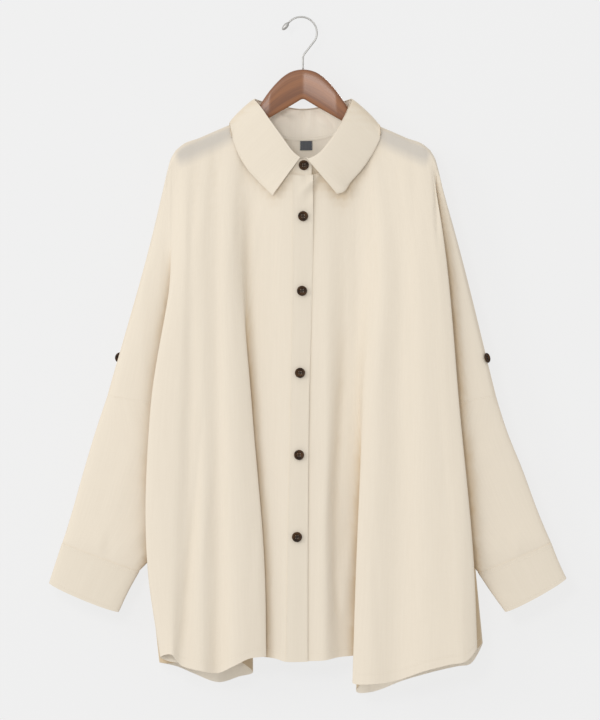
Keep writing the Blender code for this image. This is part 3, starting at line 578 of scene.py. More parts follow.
@dataclass
class Surface:
    """Rows of points that a piece of cloth runs through, in millimetres.

    Attributes:
        points: The rows of points, from the top down.
        flip: Whether the face that shows is the other one.
        closed: Whether the last column is the first one again.
        keep: Tells which of the squares between the points there are.
        fields: Named values at the points, which the materials read.
        thick: The share of the full wall that each point has.
    """

    points: np.ndarray
    flip: bool = False
    closed: bool = False
    keep: Callable[[int, int], bool] = lambda row, column: True
    fields: dict[str, np.ndarray] = field(default_factory=dict)
    thick: np.ndarray | None = None

    def normals(self) -> np.ndarray:
        """Unit normals at the points.

        Returns:
            The normals, out of the face that shows.
        """
        across = np.gradient(self.points, axis=1)
        if self.closed:
            across[:, 0] = across[:, -1] = self.points[:, 1] - self.points[:, -2]
        normal = np.cross(across, np.gradient(self.points, axis=0))
        normal /= np.linalg.norm(normal, axis=-1, keepdims=True) + 1e-9
        return -normal if self.flip else normal

    def used(self) -> np.ndarray:
        """Which of the points some square of cloth uses.

        Returns:
            True for each point that is used.
        """
        rows, columns = self.points.shape[:2]
        squares = np.array([[self.keep(r, c) for c in range(columns - 1)] for r in range(rows - 1)])
        used = np.zeros((rows, columns), bool)
        for r in (0, 1):
            for c in (0, 1):
                used[r:rows - 1 + r, c:columns - 1 + c] |= squares
        return used

    def crease(self, creases: Sequence[Crease], facing: int) -> None:
        """Raises soft ridges and sinks troughs where the cloth faces the given way.

        Args:
            creases: The creases, placed by their distance out and their drop.
            facing: 1 for the front of the garment and -1 for its back.
        """
        normals = self.normals()
        faces = np.clip(-facing * normals[..., 1] * 1.6 - 0.4, 0, 1)
        place = self.points[..., (0, 2)] * (1, -1)
        moved = np.zeros(self.points.shape[:2])
        for crease in creases:
            start = np.array((crease.x0, crease.drop0))
            run = np.array((crease.x1, crease.drop1)) - start
            length = np.linalg.norm(run)
            along = (place - start) @ run / length ** 2
            bend = np.sin(along * CREASE_WAVE + crease.x0) * crease.width * CREASE_BEND
            apart = (place - start) @ np.array((run[1], -run[0])) / length - bend
            taper = np.sin(np.pi * np.clip(along, 0, 1)) ** CREASE_TAPER
            moved += crease.height * taper * np.exp(-(apart / crease.width) ** 2)
        self.points = self.points + normals * (moved * faces)[..., None]

    def lengths(self) -> tuple[np.ndarray, np.ndarray]:
        """The flat lengths of the cloth, in metres.

        Returns:
            How far each column is along the rows on average, and each point down its column.
        """
        across = np.linalg.norm(np.diff(self.points, axis=1), axis=-1).cumsum(axis=1)
        across[:] = across.mean(axis=0)
        down = np.linalg.norm(np.diff(self.points, axis=0), axis=-1).cumsum(axis=0)
        return np.pad(across, ((0, 0), (1, 0))) * MM, np.pad(down, ((1, 0), (0, 0))) * MM

    def mesh(self) -> bmesh.types.BMesh:
        """The open surface, with its lengths as a UV map and its fields as attributes.

        Returns:
            The edited mesh.
        """
        rows, columns = self.points.shape[:2]
        mesh = bmesh.new()
        bmesh.ops.create_grid(mesh, x_segments=columns - 1, y_segments=rows - 1, size=1)
        layers = {name: mesh.verts.layers.float.new(name) for name in self.fields}
        weights = mesh.verts.layers.deform.verify()
        places = {}
        for vert in mesh.verts:
            column = round((vert.co.x + 1) / 2 * (columns - 1))
            row = round((vert.co.y + 1) / 2 * (rows - 1))
            places[vert] = (row, column)
        unused = []
        for face in mesh.faces:
            row = min(places[vert][0] for vert in face.verts)
            column = min(places[vert][1] for vert in face.verts)
            if not self.keep(row, column):
                unused.append(face)
        bmesh.ops.delete(mesh, geom=unused, context="FACES")
        across, down = self.lengths()
        cut = mesh.loops.layers.uv.new("cut")
        for face in mesh.faces:
            for loop in face.loops:
                place = places[loop.vert]
                loop[cut].uv = (across[place], -down[place])
        for vert in mesh.verts:
            place = places[vert]
            vert.co = in_metres(self.points[place])
            for name, layer in layers.items():
                vert[layer] = self.fields[name][place]
            vert[weights][0] = 1.0 if self.thick is None else self.thick[place]
        if self.closed:
            bmesh.ops.remove_doubles(mesh, verts=mesh.verts, dist=WELD * MM)
        if self.flip:
            bmesh.ops.reverse_faces(mesh, faces=mesh.faces)
        for edge in mesh.edges:
            edge.smooth = not edge.is_boundary
        mesh.normal_update()
        return mesh

    def tree(self) -> BVHTree:
        """The surface as a tree that finds the point nearest to a place.

        Returns:
            The tree, in the part's frame.
        """
        mesh = self.mesh()
        tree = BVHTree.FromBMesh(mesh)
        mesh.free()
        return tree

    def line(self, rows: np.ndarray, columns: np.ndarray) -> tuple[np.ndarray, np.ndarray]:
        """Points and normals along a path given by fractional rows and columns.

        Args:
            rows: The row of each place.
            columns: The column of each place.

        Returns:
            The points of the path, and the normal at each.
        """
        normals = self.normals()
        low_row = np.clip(np.floor(rows).astype(int), 0, self.points.shape[0] - 2)
        low_column = np.clip(np.floor(columns).astype(int), 0, self.points.shape[1] - 2)
        r = (rows - low_row)[:, None]
        c = (columns - low_column)[:, None]
        found = []
        for values in (self.points, normals):
            upper = values[low_row, low_column] * (1 - c) + values[low_row, low_column + 1] * c
            lower = values[low_row + 1, low_column] * (1 - c) + values[low_row + 1, low_column + 1] * c
            found.append(upper * (1 - r) + lower * r)
        return found[0], found[1]


@dataclass
class PaintedFoldShade:
    """Marks where the cloth lies behind what is round it, as a field named hollow, which the cotton paints as
    a warm shade.

    Attributes:
        cell: The width and height of the squares that the heights are kept in.
        blur: How far the cloth round a place counts, across and down.
        depth: How far behind a place lies to be marked fully.
        start: How far behind it lies before it is marked at all.
        curve: Over 1, a shallow hollow is marked less.
        turned: How far a face is turned to a side before it is marked, and the range of that.
        towards_light: How far towards the light the cloth that counts lies.
        corner: The lower right corner of the squares, as the wearer has it.
        size: How many squares there are, across and up.
    """

    cell: tuple[float, float] = (3.0, 12.0)
    blur: tuple[float, float] = (8.0, 14.0)
    depth: float = 12.0
    start: float = 0.8
    curve: float = 1.2
    turned: tuple[float, float] = (0.3, 0.4)
    towards_light: float = 3.0
    corner: tuple[float, float] = (-420.0, -1040.0)
    size: tuple[int, int] = (290, 80)

    def squares(self, points: np.ndarray, moved: float = 0) -> tuple[np.ndarray, np.ndarray]:
        """The square that each point is in when it is moved sideways.

        Args:
            points: The points.
            moved: How far they are moved.

        Returns:
            The number of each point's square across, and up.
        """
        across = (points[..., 0] + moved - self.corner[0]) / self.cell[0]
        up = (points[..., 2] - self.corner[1]) / self.cell[1]
        return across.astype(int), up.astype(int)

    def spread(self, values: np.ndarray) -> np.ndarray:
        """Values smoothed across and down.

        Args:
            values: One value for each square.

        Returns:
            The smoothed values.
        """
        for axis in (0, 1):
            reach = self.blur[axis] / self.cell[axis]
            steps = np.arange(-math.ceil(3 * reach), math.ceil(3 * reach) + 1)
            weights = np.exp(-0.5 * (steps / reach) ** 2)
            values = np.apply_along_axis(np.convolve, axis, values, weights / weights.sum(), "same")
        return values

    def mark(self, surfaces: Sequence[Surface]) -> None:
        """Marks the surfaces on the side that each point faces.

        Args:
            surfaces: All the surfaces that lie on or beside each other.
        """
        empty = -1e3
        for surface in surfaces:
            surface.fields["hollow"] = np.zeros(surface.points.shape[:2])
        for facing in (1, -1):
            highest = np.full(self.size, empty)
            for surface in surfaces:
                seen = surface.used() & (-facing * surface.normals()[..., 1] > 0)
                places = self.squares(surface.points[seen])
                np.maximum.at(highest, places, -facing * surface.points[seen][:, 1])
            filled = (highest > empty).astype(float)
            level = self.spread(highest * filled) / np.maximum(self.spread(filled), 1e-6)
            for surface in surfaces:
                towards = -facing * surface.normals()[..., 1]
                nearby = level[self.squares(surface.points, -self.towards_light)]
                behind = nearby + facing * surface.points[..., 1]
                # How deep in a hollow the point lies, which sets how much painted shade it gets.
                hollow = np.clip((behind - self.start) / self.depth, 0, 1) ** self.curve
                hollow *= np.clip((towards - self.turned[0]) / self.turned[1], 0, 1)
                surface.fields["hollow"] += hollow


def clear_of(points: np.ndarray, trees: Sequence[BVHTree], distance: float) -> np.ndarray:
    """Points moved out where they are nearer than a distance to their nearest surface.

    Args:
        points: The points, in the garment's frame.
        trees: The surfaces to keep clear of.
        distance: The least distance.

    Returns:
        The points, moved where they had to be.
    """
    moved = points.copy()
    for index in np.ndindex(points.shape[:-1]):
        for _ in range(3):
            place = in_metres(moved[index])
            found = [tree.find_nearest(place) for tree in trees]
            near, normal = min(found, key=lambda hit: hit[3])[:2]
            short = distance * MM - (place - near).dot(normal)
            if short > 0:
                moved[index] += np.array(normal * short) / MM
    return moved


def add_piece(name: str, mesh: bmesh.types.BMesh, material: bpy.types.Material,
              replaced: Sequence[str] = ()) -> bpy.types.Object:
    """A piece of the shirt from its edited mesh, riding on the one body.

    Args:
        name: The piece's name.
        mesh: Its edited mesh, which is freed.
        material: Its finish.
        replaced: The CAD nodes that it stands for.

    Returns:
        The piece.
    """
    data = new_mesh(name, mesh)
    data.shade_smooth()
    data.materials.append(material)
    piece = new_object(name, data)
    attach(piece, "root")
    if replaced:
        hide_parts(*replaced)
    LOG.info("%s: %d faces", name, len(data.polygons))
    return piece


def add_cloth(name: str, surface: Surface, thickness: float, material: bpy.types.Material,
              inner: bpy.types.Material | None = None) -> None:
    """A piece of cloth with its wall behind the face that shows.

    Args:
        name: The CAD node that the piece stands for, which gives its name.
        surface: The face that shows.
        thickness: The wall where it is thickest.
        material: Its finish.
        inner: The finish of its inner face, where that isn't the same.
    """
    # Pieces that have no painted shade get none in either painted-shade field.
    for value in ("through", "hollow"):
        surface.fields.setdefault(value, np.zeros(surface.points.shape[:2]))
    piece = add_piece(f"{name}_cloth", surface.mesh(), material, [name])
    piece.vertex_groups.new(name="thick")
    wall = piece.modifiers.new("wall", "SOLIDIFY")
    wall.thickness = thickness * MM
    wall.offset = -1
    wall.use_even_offset = False
    wall.vertex_group = "thick"
    if inner is not None:
        piece.data.materials.append(inner)
        wall.material_offset = 1


class Graph:
    """Adds nodes to a material or a node group, and links them."""

    def __init__(self, tree: bpy.types.NodeTree) -> None:
        """Starts on a node tree."""
        self.tree = tree

    def give(self, node: bpy.types.Node, inputs: dict[str | int, object]) -> None:
        """Links sockets to a node's inputs, or sets the inputs' values.

        Args:
            node: The node.
            inputs: A socket or a value for each input, by its name or number.
        """
        for key, value in inputs.items():
            if isinstance(value, bpy.types.NodeSocket):
                self.tree.links.new(value, node.inputs[key])
            else:
                node.inputs[key].default_value = value

    def add(self, kind: str, inputs: dict[str | int, object] | None = None,
            **settings: object) -> bpy.types.NodeOutputs:
        """A new node.

        Args:
            kind: Its kind.
            inputs: What its inputs are given.
            **settings: Its settings.

        Returns:
            Its outputs.
        """
        node = self.tree.nodes.new(kind)
        for name, value in settings.items():
            setattr(node, name, value)
        self.give(node, inputs or {})
        return node.outputs

    def math(self, operation: str, *values: object) -> bpy.types.NodeSocket:
        """The result of a Math node's operation on sockets or numbers."""
        return self.add("ShaderNodeMath", dict(enumerate(values)), operation=operation)[0]

    def total(self, first: bpy.types.NodeSocket, first_share: object, second: bpy.types.NodeSocket,
              second_share: object) -> bpy.types.NodeSocket:
        """Two sockets added up, each times its share."""
        shares = (self.math("MULTIPLY", first, first_share), self.math("MULTIPLY", second, second_share))
        return self.math("ADD", *shares)

    def ranged(self, value: bpy.types.NodeSocket, source: tuple[float, float],
               target: tuple[float, float] = (0.0, 1.0)) -> bpy.types.NodeSocket:
        """A value brought from one range into another.

        Args:
            value: The value.
            source: The range that it comes from.
            target: The range that it is brought into.

        Returns:
            The socket with the new value.
        """
        ends = dict(zip(("From Min", "From Max", "To Min", "To Max"), (*source, *target)))
        return self.add("ShaderNodeMapRange", {"Value": value, **ends})[0]

    def noise(self, vector: bpy.types.NodeSocket, scale: float = 1.0, detail: float = 2.0,
              distortion: float = 0.0) -> bpy.types.NodeSocket:
        """Noise from 0 to 1, by its coordinates, scale, detail and distortion."""
        inputs = {"Vector": vector, "Scale": scale, "Detail": detail, "Distortion": distortion}
        return self.add("ShaderNodeTexNoise", inputs)[0]

    def stretched(self, vector: bpy.types.NodeSocket, scale: tuple[float, float, float],
                  detail: float = 2.0) -> bpy.types.NodeSocket:
        """Noise with its own number of patches in a metre along each axis."""
        return self.noise(self.add("ShaderNodeMapping", {"Vector": vector, "Scale": scale})[0], detail=detail)

    def blend(self, share: bpy.types.NodeSocket, first: object, second: object) -> bpy.types.NodeSocket:
        """A colour between two colours or sockets.

        Args:
            share: 0 for the first and 1 for the second.
            first: A colour or a socket.
            second: A colour or a socket.

        Returns:
            The socket with the colour.
        """
        inputs = {"Factor": share}
        for key, value in ((6, first), (7, second)):
            inputs[key] = value if isinstance(value, bpy.types.NodeSocket) else (*value, 1)
        return self.add("ShaderNodeMix", inputs, data_type="RGBA")[2]

    def place(self, group: bpy.types.NodeTree, vector: bpy.types.NodeSocket,
              **values: float) -> bpy.types.NodeOutputs:
        """The outputs of a node group, from its coordinates and its own values."""
        return self.add("ShaderNodeGroup", {"Vector": vector, **values}, node_tree=group)

    def bump(self, height: bpy.types.NodeSocket, distance: float,
             strength: float = 1.0) -> bpy.types.NodeSocket:
        """A normal bumped by a height, which stands for a distance in metres."""
        inputs = {"Height": height, "Distance": distance, "Strength": strength}
        return self.add("ShaderNodeBump", inputs)[0]


def new_group(name: str, inputs: Sequence[str],
              outputs: Sequence[str]) -> tuple[Graph, bpy.types.NodeOutputs, bpy.types.Node]:
    """A node group with a vector input, number inputs and number outputs.

    Args:
        name: The group's name.
        inputs: The names of the number inputs.
        outputs: The names of the number outputs.

    Returns:
        Its graph, the outputs of its input node, and its output node.
    """
    group = bpy.data.node_groups.new(name, "ShaderNodeTree")
    group.interface.new_socket("Vector", in_out="INPUT", socket_type="NodeSocketVector")
    for way, labels in (("INPUT", inputs), ("OUTPUT", outputs)):
        for label in labels:
            group.interface.new_socket(label, in_out=way, socket_type="NodeSocketFloat")
    return Graph(group), group.nodes.new("NodeGroupInput").outputs, group.nodes.new("NodeGroupOutput")


def make_yarn_group() -> bpy.types.NodeTree:
    """Plain weave with uneven yarns: the yarns' height, and where they thicken.

    Returns:
        The group.
    """
    graph, start, end = new_group("uneven_yarns", ("Threads", "Unevenness"), ("Height", "Slub"))
    parts = graph.add("ShaderNodeSeparateXYZ", {0: start["Vector"]})
    waves = []
    for axis in (0, 1):
        turns = graph.math("MULTIPLY", parts[axis], start["Threads"])
        waves.append(graph.math("SINE", graph.math("MULTIPLY", turns, math.pi)))
    crossing = graph.math("MULTIPLY", *waves)
    warp = graph.stretched(start["Vector"], (420, 15, 1))
    weft = graph.stretched(start["Vector"], (24, 700, 1))
    slub = graph.total(warp, 0.72, weft, 0.28)
    graph.give(end, {"Height": graph.total(crossing, 0.07, slub, start["Unevenness"]), "Slub": slub})
    return graph.tree


def make_crumple_group() -> bpy.types.NodeTree:
    """Soft hand crumples of washed cloth, large ones and small ones.

    Returns:
        The group.
    """
    graph, start, end = new_group("crumples", ("Large", "Small"), ("Height",))
    large = graph.stretched(start["Vector"], (26, 9, 1), 1.0)
    small = graph.stretched(start["Vector"], (95, 60, 1))
    graph.give(end, {"Height": graph.total(large, start["Large"], small, start["Small"])})
    return graph.tree


def make_streak_group() -> bpy.types.NodeTree:
    """Long streaks and fine pores, for wood, horn, wire and thread: a mask and a height.

    Returns:
        The group.
    """
    graph, start, end = new_group("streaks", ("Length", "Width"), ("Mask", "Height"))
    scale = graph.add("ShaderNodeCombineXYZ", {0: start["Length"], 1: start["Width"], 2: start["Width"]})
    placed = graph.add("ShaderNodeVectorMath", {0: start["Vector"], 1: scale[0]}, operation="MULTIPLY")
    broad = graph.noise(placed[0], 0.45, 4.0, 0.15)
    fine = graph.noise(placed[0], 2.6, 3.0)
    graph.give(end, {"Mask": graph.total(broad, 0.65, fine, 0.35), "Height": fine})
    return graph.tree


class Groups:
    """The effects that more than one finish uses, each built once."""

    def __init__(self) -> None:
        """Builds the groups."""
        self.yarns = make_yarn_group()
        self.crumples = make_crumple_group()
        self.streaks = make_streak_group()


def new_material(name: str) -> tuple[bpy.types.Material, Graph, bpy.types.Node]:
    """A material to add nodes to.

    Args:
        name: Its name.

    Returns:
        The material, its graph and its shader.
    """
    material = bpy.data.materials.new(name)
    material.use_nodes = True
    return material, Graph(material.node_tree), material.node_tree.nodes["Principled BSDF"]


def dimmed(colour: Colour, share: float = 0.9) -> Colour:
    """A share of a colour."""
    return tuple(value * share for value in colour)


@dataclass(frozen=True)
class CottonFinish:
    """Washed cream cotton with uneven yarns, with a painted shade where the hanger lies behind it and, on its
    outer side, a warm painted shade in the hollows of folds.

    Attributes:
        name: The material's name.
        light: The colour of the thick yarns.
        dark: The colour between them.
        shaded: The painted shade where the hanger lies behind the cloth and shades it.
        fold_shade: The warm painted shade deep in a fold's hollow.
        crumple: How deep the crumples are, in metres.
        yarn: How deep the yarns are.
        spread: The stretch of the slubs' noise that takes up the whole change of colour.
        outer: Whether it is for the side whose hollows get the painted fold shade.
    """

    name: str
    light: Colour = (0.770, 0.689, 0.571)
    dark: Colour = (0.755, 0.674, 0.556)
    shaded: Colour = (0.5, 0.47, 0.43)
    fold_shade: Colour = (0.62, 0.49, 0.33)
    crumple: float = 0.0013
    yarn: float = 0.00016
    spread: tuple[float, float] = (0.36, 0.64)
    outer: bool = True

    def material(self, groups: Groups) -> bpy.types.Material:
        """The finish as a material.

        Args:
            groups: The effects that finishes share.

        Returns:
            The material.
        """
        material, graph, shader = new_material(self.name)
        cut = graph.add("ShaderNodeUVMap", uv_map="cut")[0]
        yarns = graph.place(groups.yarns, cut, Threads=1700, Unevenness=0.6)
        folds = graph.place(groups.crumples, cut, Large=0.75, Small=0.25)
        colour = graph.blend(graph.ranged(yarns["Slub"], self.spread), self.dark, self.light)
        # Painted shade: the hanger's shade where the field through is set, and on the outer side a warm shade
        # in the hollows that the field hollow marks.
        painted_shades = {"through": self.shaded, "hollow": self.fold_shade} if self.outer else {"through": self.shaded}
        for value, tint in painted_shades.items():
            colour = graph.blend(graph.add("ShaderNodeAttribute", attribute_name=value)["Fac"], colour, tint)
        fine = graph.math("MULTIPLY", yarns["Height"], self.yarn / self.crumple)
        graph.give(shader, {
            "Base Color": colour, "Roughness": 0.88, "Specular IOR Level": 0.25,
            "Sheen Weight": 0.1, "Sheen Roughness": 0.45,
            "Normal": graph.bump(graph.math("ADD", folds["Height"], fine), self.crumple),
        })
        return material


@dataclass(frozen=True)
class StreakedFinish:
    """Wood, horn, wire or thread, with streaks that run along it.

    Attributes:
        name: The material's name.
        light: The colour of the light streaks.
        dark: The colour of the dark ones.
        length: How many streaks there are in a metre along them.
        width: The same across them.
        roughness: The roughness of the dark streaks, and of the light ones.
        spread: The stretch of the streaks' mask that takes up the whole change of colour.
        pores: How deep the pores are, in metres, and the share of it that shows.
        along_cut: Whether the streaks follow the UV map, and not the object.
        shine: The shader's other values.
    """

    name: str
    light: Colour
    dark: Colour
    length: float
    width: float
    roughness: tuple[float, float]
    spread: tuple[float, float] = (0.0, 1.0)
    pores: tuple[float, float] | None = None
    along_cut: bool = False
    shine: dict[str, float] = field(default_factory=dict)

    def material(self, groups: Groups) -> bpy.types.Material:
        """The finish as a material.

        Args:
            groups: The effects that finishes share.

        Returns:
            The material.
        """
        material, graph, shader = new_material(self.name)
        if self.along_cut:
            place = graph.add("ShaderNodeUVMap", uv_map="cut")[0]
        else:
            place = graph.add("ShaderNodeTexCoord")["Object"]
        streaks = graph.place(groups.streaks, place, Length=self.length, Width=self.width)
        low, high = self.roughness
        graph.give(shader, {
            "Base Color": graph.blend(graph.ranged(streaks["Mask"], self.spread), self.dark, self.light),
            "Roughness": low if low == high else graph.ranged(streaks["Mask"], (0, 1), self.roughness),
            **self.shine,
        })
        if self.pores is not None:
            graph.give(shader, {"Normal": graph.bump(streaks["Height"], *self.pores)})
        return material


@dataclass(frozen=True)
class TapeFinish:
    """Dark grey woven tape.

    Attributes:
        name: The material's name.
        light: The colour of the thick yarns.
        dark: The colour between them.
        yarn: How deep the yarns are, in metres.
    """

    name: str = "woven_tape"
    light: Colour = (0.135, 0.145, 0.165)
    dark: Colour = (0.07, 0.075, 0.09)
    yarn: float = 0.0002

    def material(self, groups: Groups) -> bpy.types.Material:
        """The finish as a material.

        Args:
            groups: The effects that finishes share.

        Returns:
            The material.
        """
        material, graph, shader = new_material(self.name)
        cut = graph.add("ShaderNodeUVMap", uv_map="cut")[0]
        yarns = graph.place(groups.yarns, cut, Threads=3000, Unevenness=0.3)
        colour = graph.blend(yarns["Slub"], self.dark, self.light)
        normal = graph.bump(yarns["Height"], self.yarn)
        graph.give(shader, {"Base Color": colour, "Roughness": 0.8, "Normal": normal})
        return material


def thread_finish(name: str, colour: Colour) -> StreakedFinish:
    """Sewing thread of a colour."""
    return StreakedFinish(name, colour, dimmed(colour), 900, 900, (0.7, 0.7))


class Wardrobe:
    """All the finishes, as materials."""

    def __init__(self) -> None:
        """Builds the materials."""
        groups = Groups()
        steel = (0.52, 0.51, 0.49)
        self.body = CottonFinish("cream_cotton").material(groups)
        # The interlined cloth is a little darker than the body's: a painted shade that damps the stronger
        # light on the collar, band and cuffs.
        self.firm = CottonFinish(
            "cream_cotton_interlined", light=(0.751, 0.673, 0.557), dark=(0.737, 0.659, 0.543), crumple=0.001,
        ).material(groups)
        # Painted light: the inner faces of the stand, the body and the sleeves get a lighter cream than the
        # outer cloth, for the light that comes through the thin cotton.
        self.neck = CottonFinish(
            "cream_cotton_band", light=(0.96, 0.89, 0.77), dark=(0.94, 0.865, 0.745), crumple=0.0012,
            outer=False,
        ).material(groups)
        self.inner = CottonFinish(
            "cream_cotton_inner", light=(0.94, 0.865, 0.745), dark=(0.92, 0.84, 0.72), outer=False,
        ).material(groups)
        self.thread = thread_finish("cream_thread", (0.86, 0.785, 0.67)).material(groups)
        self.button_thread = thread_finish("brown_thread", (0.022, 0.013, 0.008)).material(groups)
        self.wood = StreakedFinish(
            "stained_wood", (0.30, 0.114, 0.036), (0.175, 0.061, 0.02), 7, 240, (0.5, 0.5),
            spread=(0.38, 0.62), pores=(0.00012, 0.6), along_cut=True,
            shine={"Coat Weight": 0.6, "Coat Roughness": 0.27},
        ).material(groups)
        self.horn = StreakedFinish(
            "dark_horn", (0.1, 0.045, 0.014), (0.016, 0.0075, 0.003), 160, 420, (0.5, 0.5),
            spread=(0.42, 0.68), pores=(0.00006, 0.5), shine={"Specular IOR Level": 0.2},
        ).material(groups)
        self.chrome = StreakedFinish(
            "chromed_wire", steel, dimmed(steel), 14, 14, (0.4, 0.5), shine={"Metallic": 1.0},
        ).material(groups)
        self.tape = TapeFinish().material(groups)


@dataclass
class Sewing:
    """Gathers the stitches of a seam or an edge into one piece.

    Attributes:
        pitch: From one stitch to the next.
        length: The length of a stitch.
        radius: Half the thread's thickness.
        lift: How far a stitch's middle lies above the cloth.
        rounding: How much longer a stitch is made, as its ends are round.
        shortest: The length under which a stitch is left out.
        batch: How many stitches one edited mesh takes before it slows down.
        places: Where the stitches go.
    """

    pitch: float = 3.0
    length: float = 2.3
    radius: float = 0.3
    lift: float = 0.08
    rounding: float = 1.08
    shortest: float = 0.1
    batch: int = 60
    places: list[Matrix] = field(default_factory=list)

    def run(self, points: np.ndarray, normals: np.ndarray) -> None:
        """Adds stitches along a path.

        Args:
            points: The points of the path, in the garment's frame.
            normals: The cloth's normal at each.
        """
        along = path_lengths(points)
        for k in range(int(along[-1] / self.pitch)):
            middle = (k + 0.5) * self.pitch
            ends = []
            for offset in (-0.5, 0.5):
                at = middle + offset * self.length
                ends.append(np.array([np.interp(at, along, points[:, axis]) for axis in range(3)]))
            normal = np.array([np.interp(middle, along, normals[:, axis]) for axis in range(3)])
            self.add(*ends, normal)

    def follow(self, surface: Surface, rows: np.ndarray | float, columns: np.ndarray | float) -> None:
        """Adds stitches along a path given by fractional rows and columns of a surface."""
        self.run(*surface.line(*np.broadcast_arrays(np.asarray(rows, float), np.asarray(columns, float))))

    def add(self, start: np.ndarray, end: np.ndarray, normal: np.ndarray) -> None:
        """Adds one stitch.

        Args:
            start: One end, in the garment's frame.
            end: The other end.
            normal: The cloth's normal there.
        """
        run = Vector(end - start)
        up = Vector(normal).normalized()
        if run.length < self.shortest or up.length < 0.5:
            return
        turn = run.to_track_quat("X", "Z").to_matrix().to_4x4()
        middle = in_metres((start + end) / 2 + np.array(up) * self.lift)
        size = Matrix.Diagonal(
            (run.length / 2 * self.rounding * MM, self.radius * MM, self.radius * MM, 1))
        self.places.append(Matrix.Translation(middle) @ turn @ size)

    def piece(self, name: str, material: bpy.types.Material) -> None:
        """Makes one piece of all the stitches.

        Args:
            name: The piece's name.
            material: The thread's finish.
        """
        whole = bmesh.new()
        for first in range(0, len(self.places), self.batch):
            part = bmesh.new()
            for place in self.places[first:first + self.batch]:
                bmesh.ops.create_icosphere(part, subdivisions=1, radius=1, matrix=place)
            data = new_mesh("stitches", part)
            whole.from_mesh(data)
            bpy.data.meshes.remove(data)
        add_piece(name, whole, material)


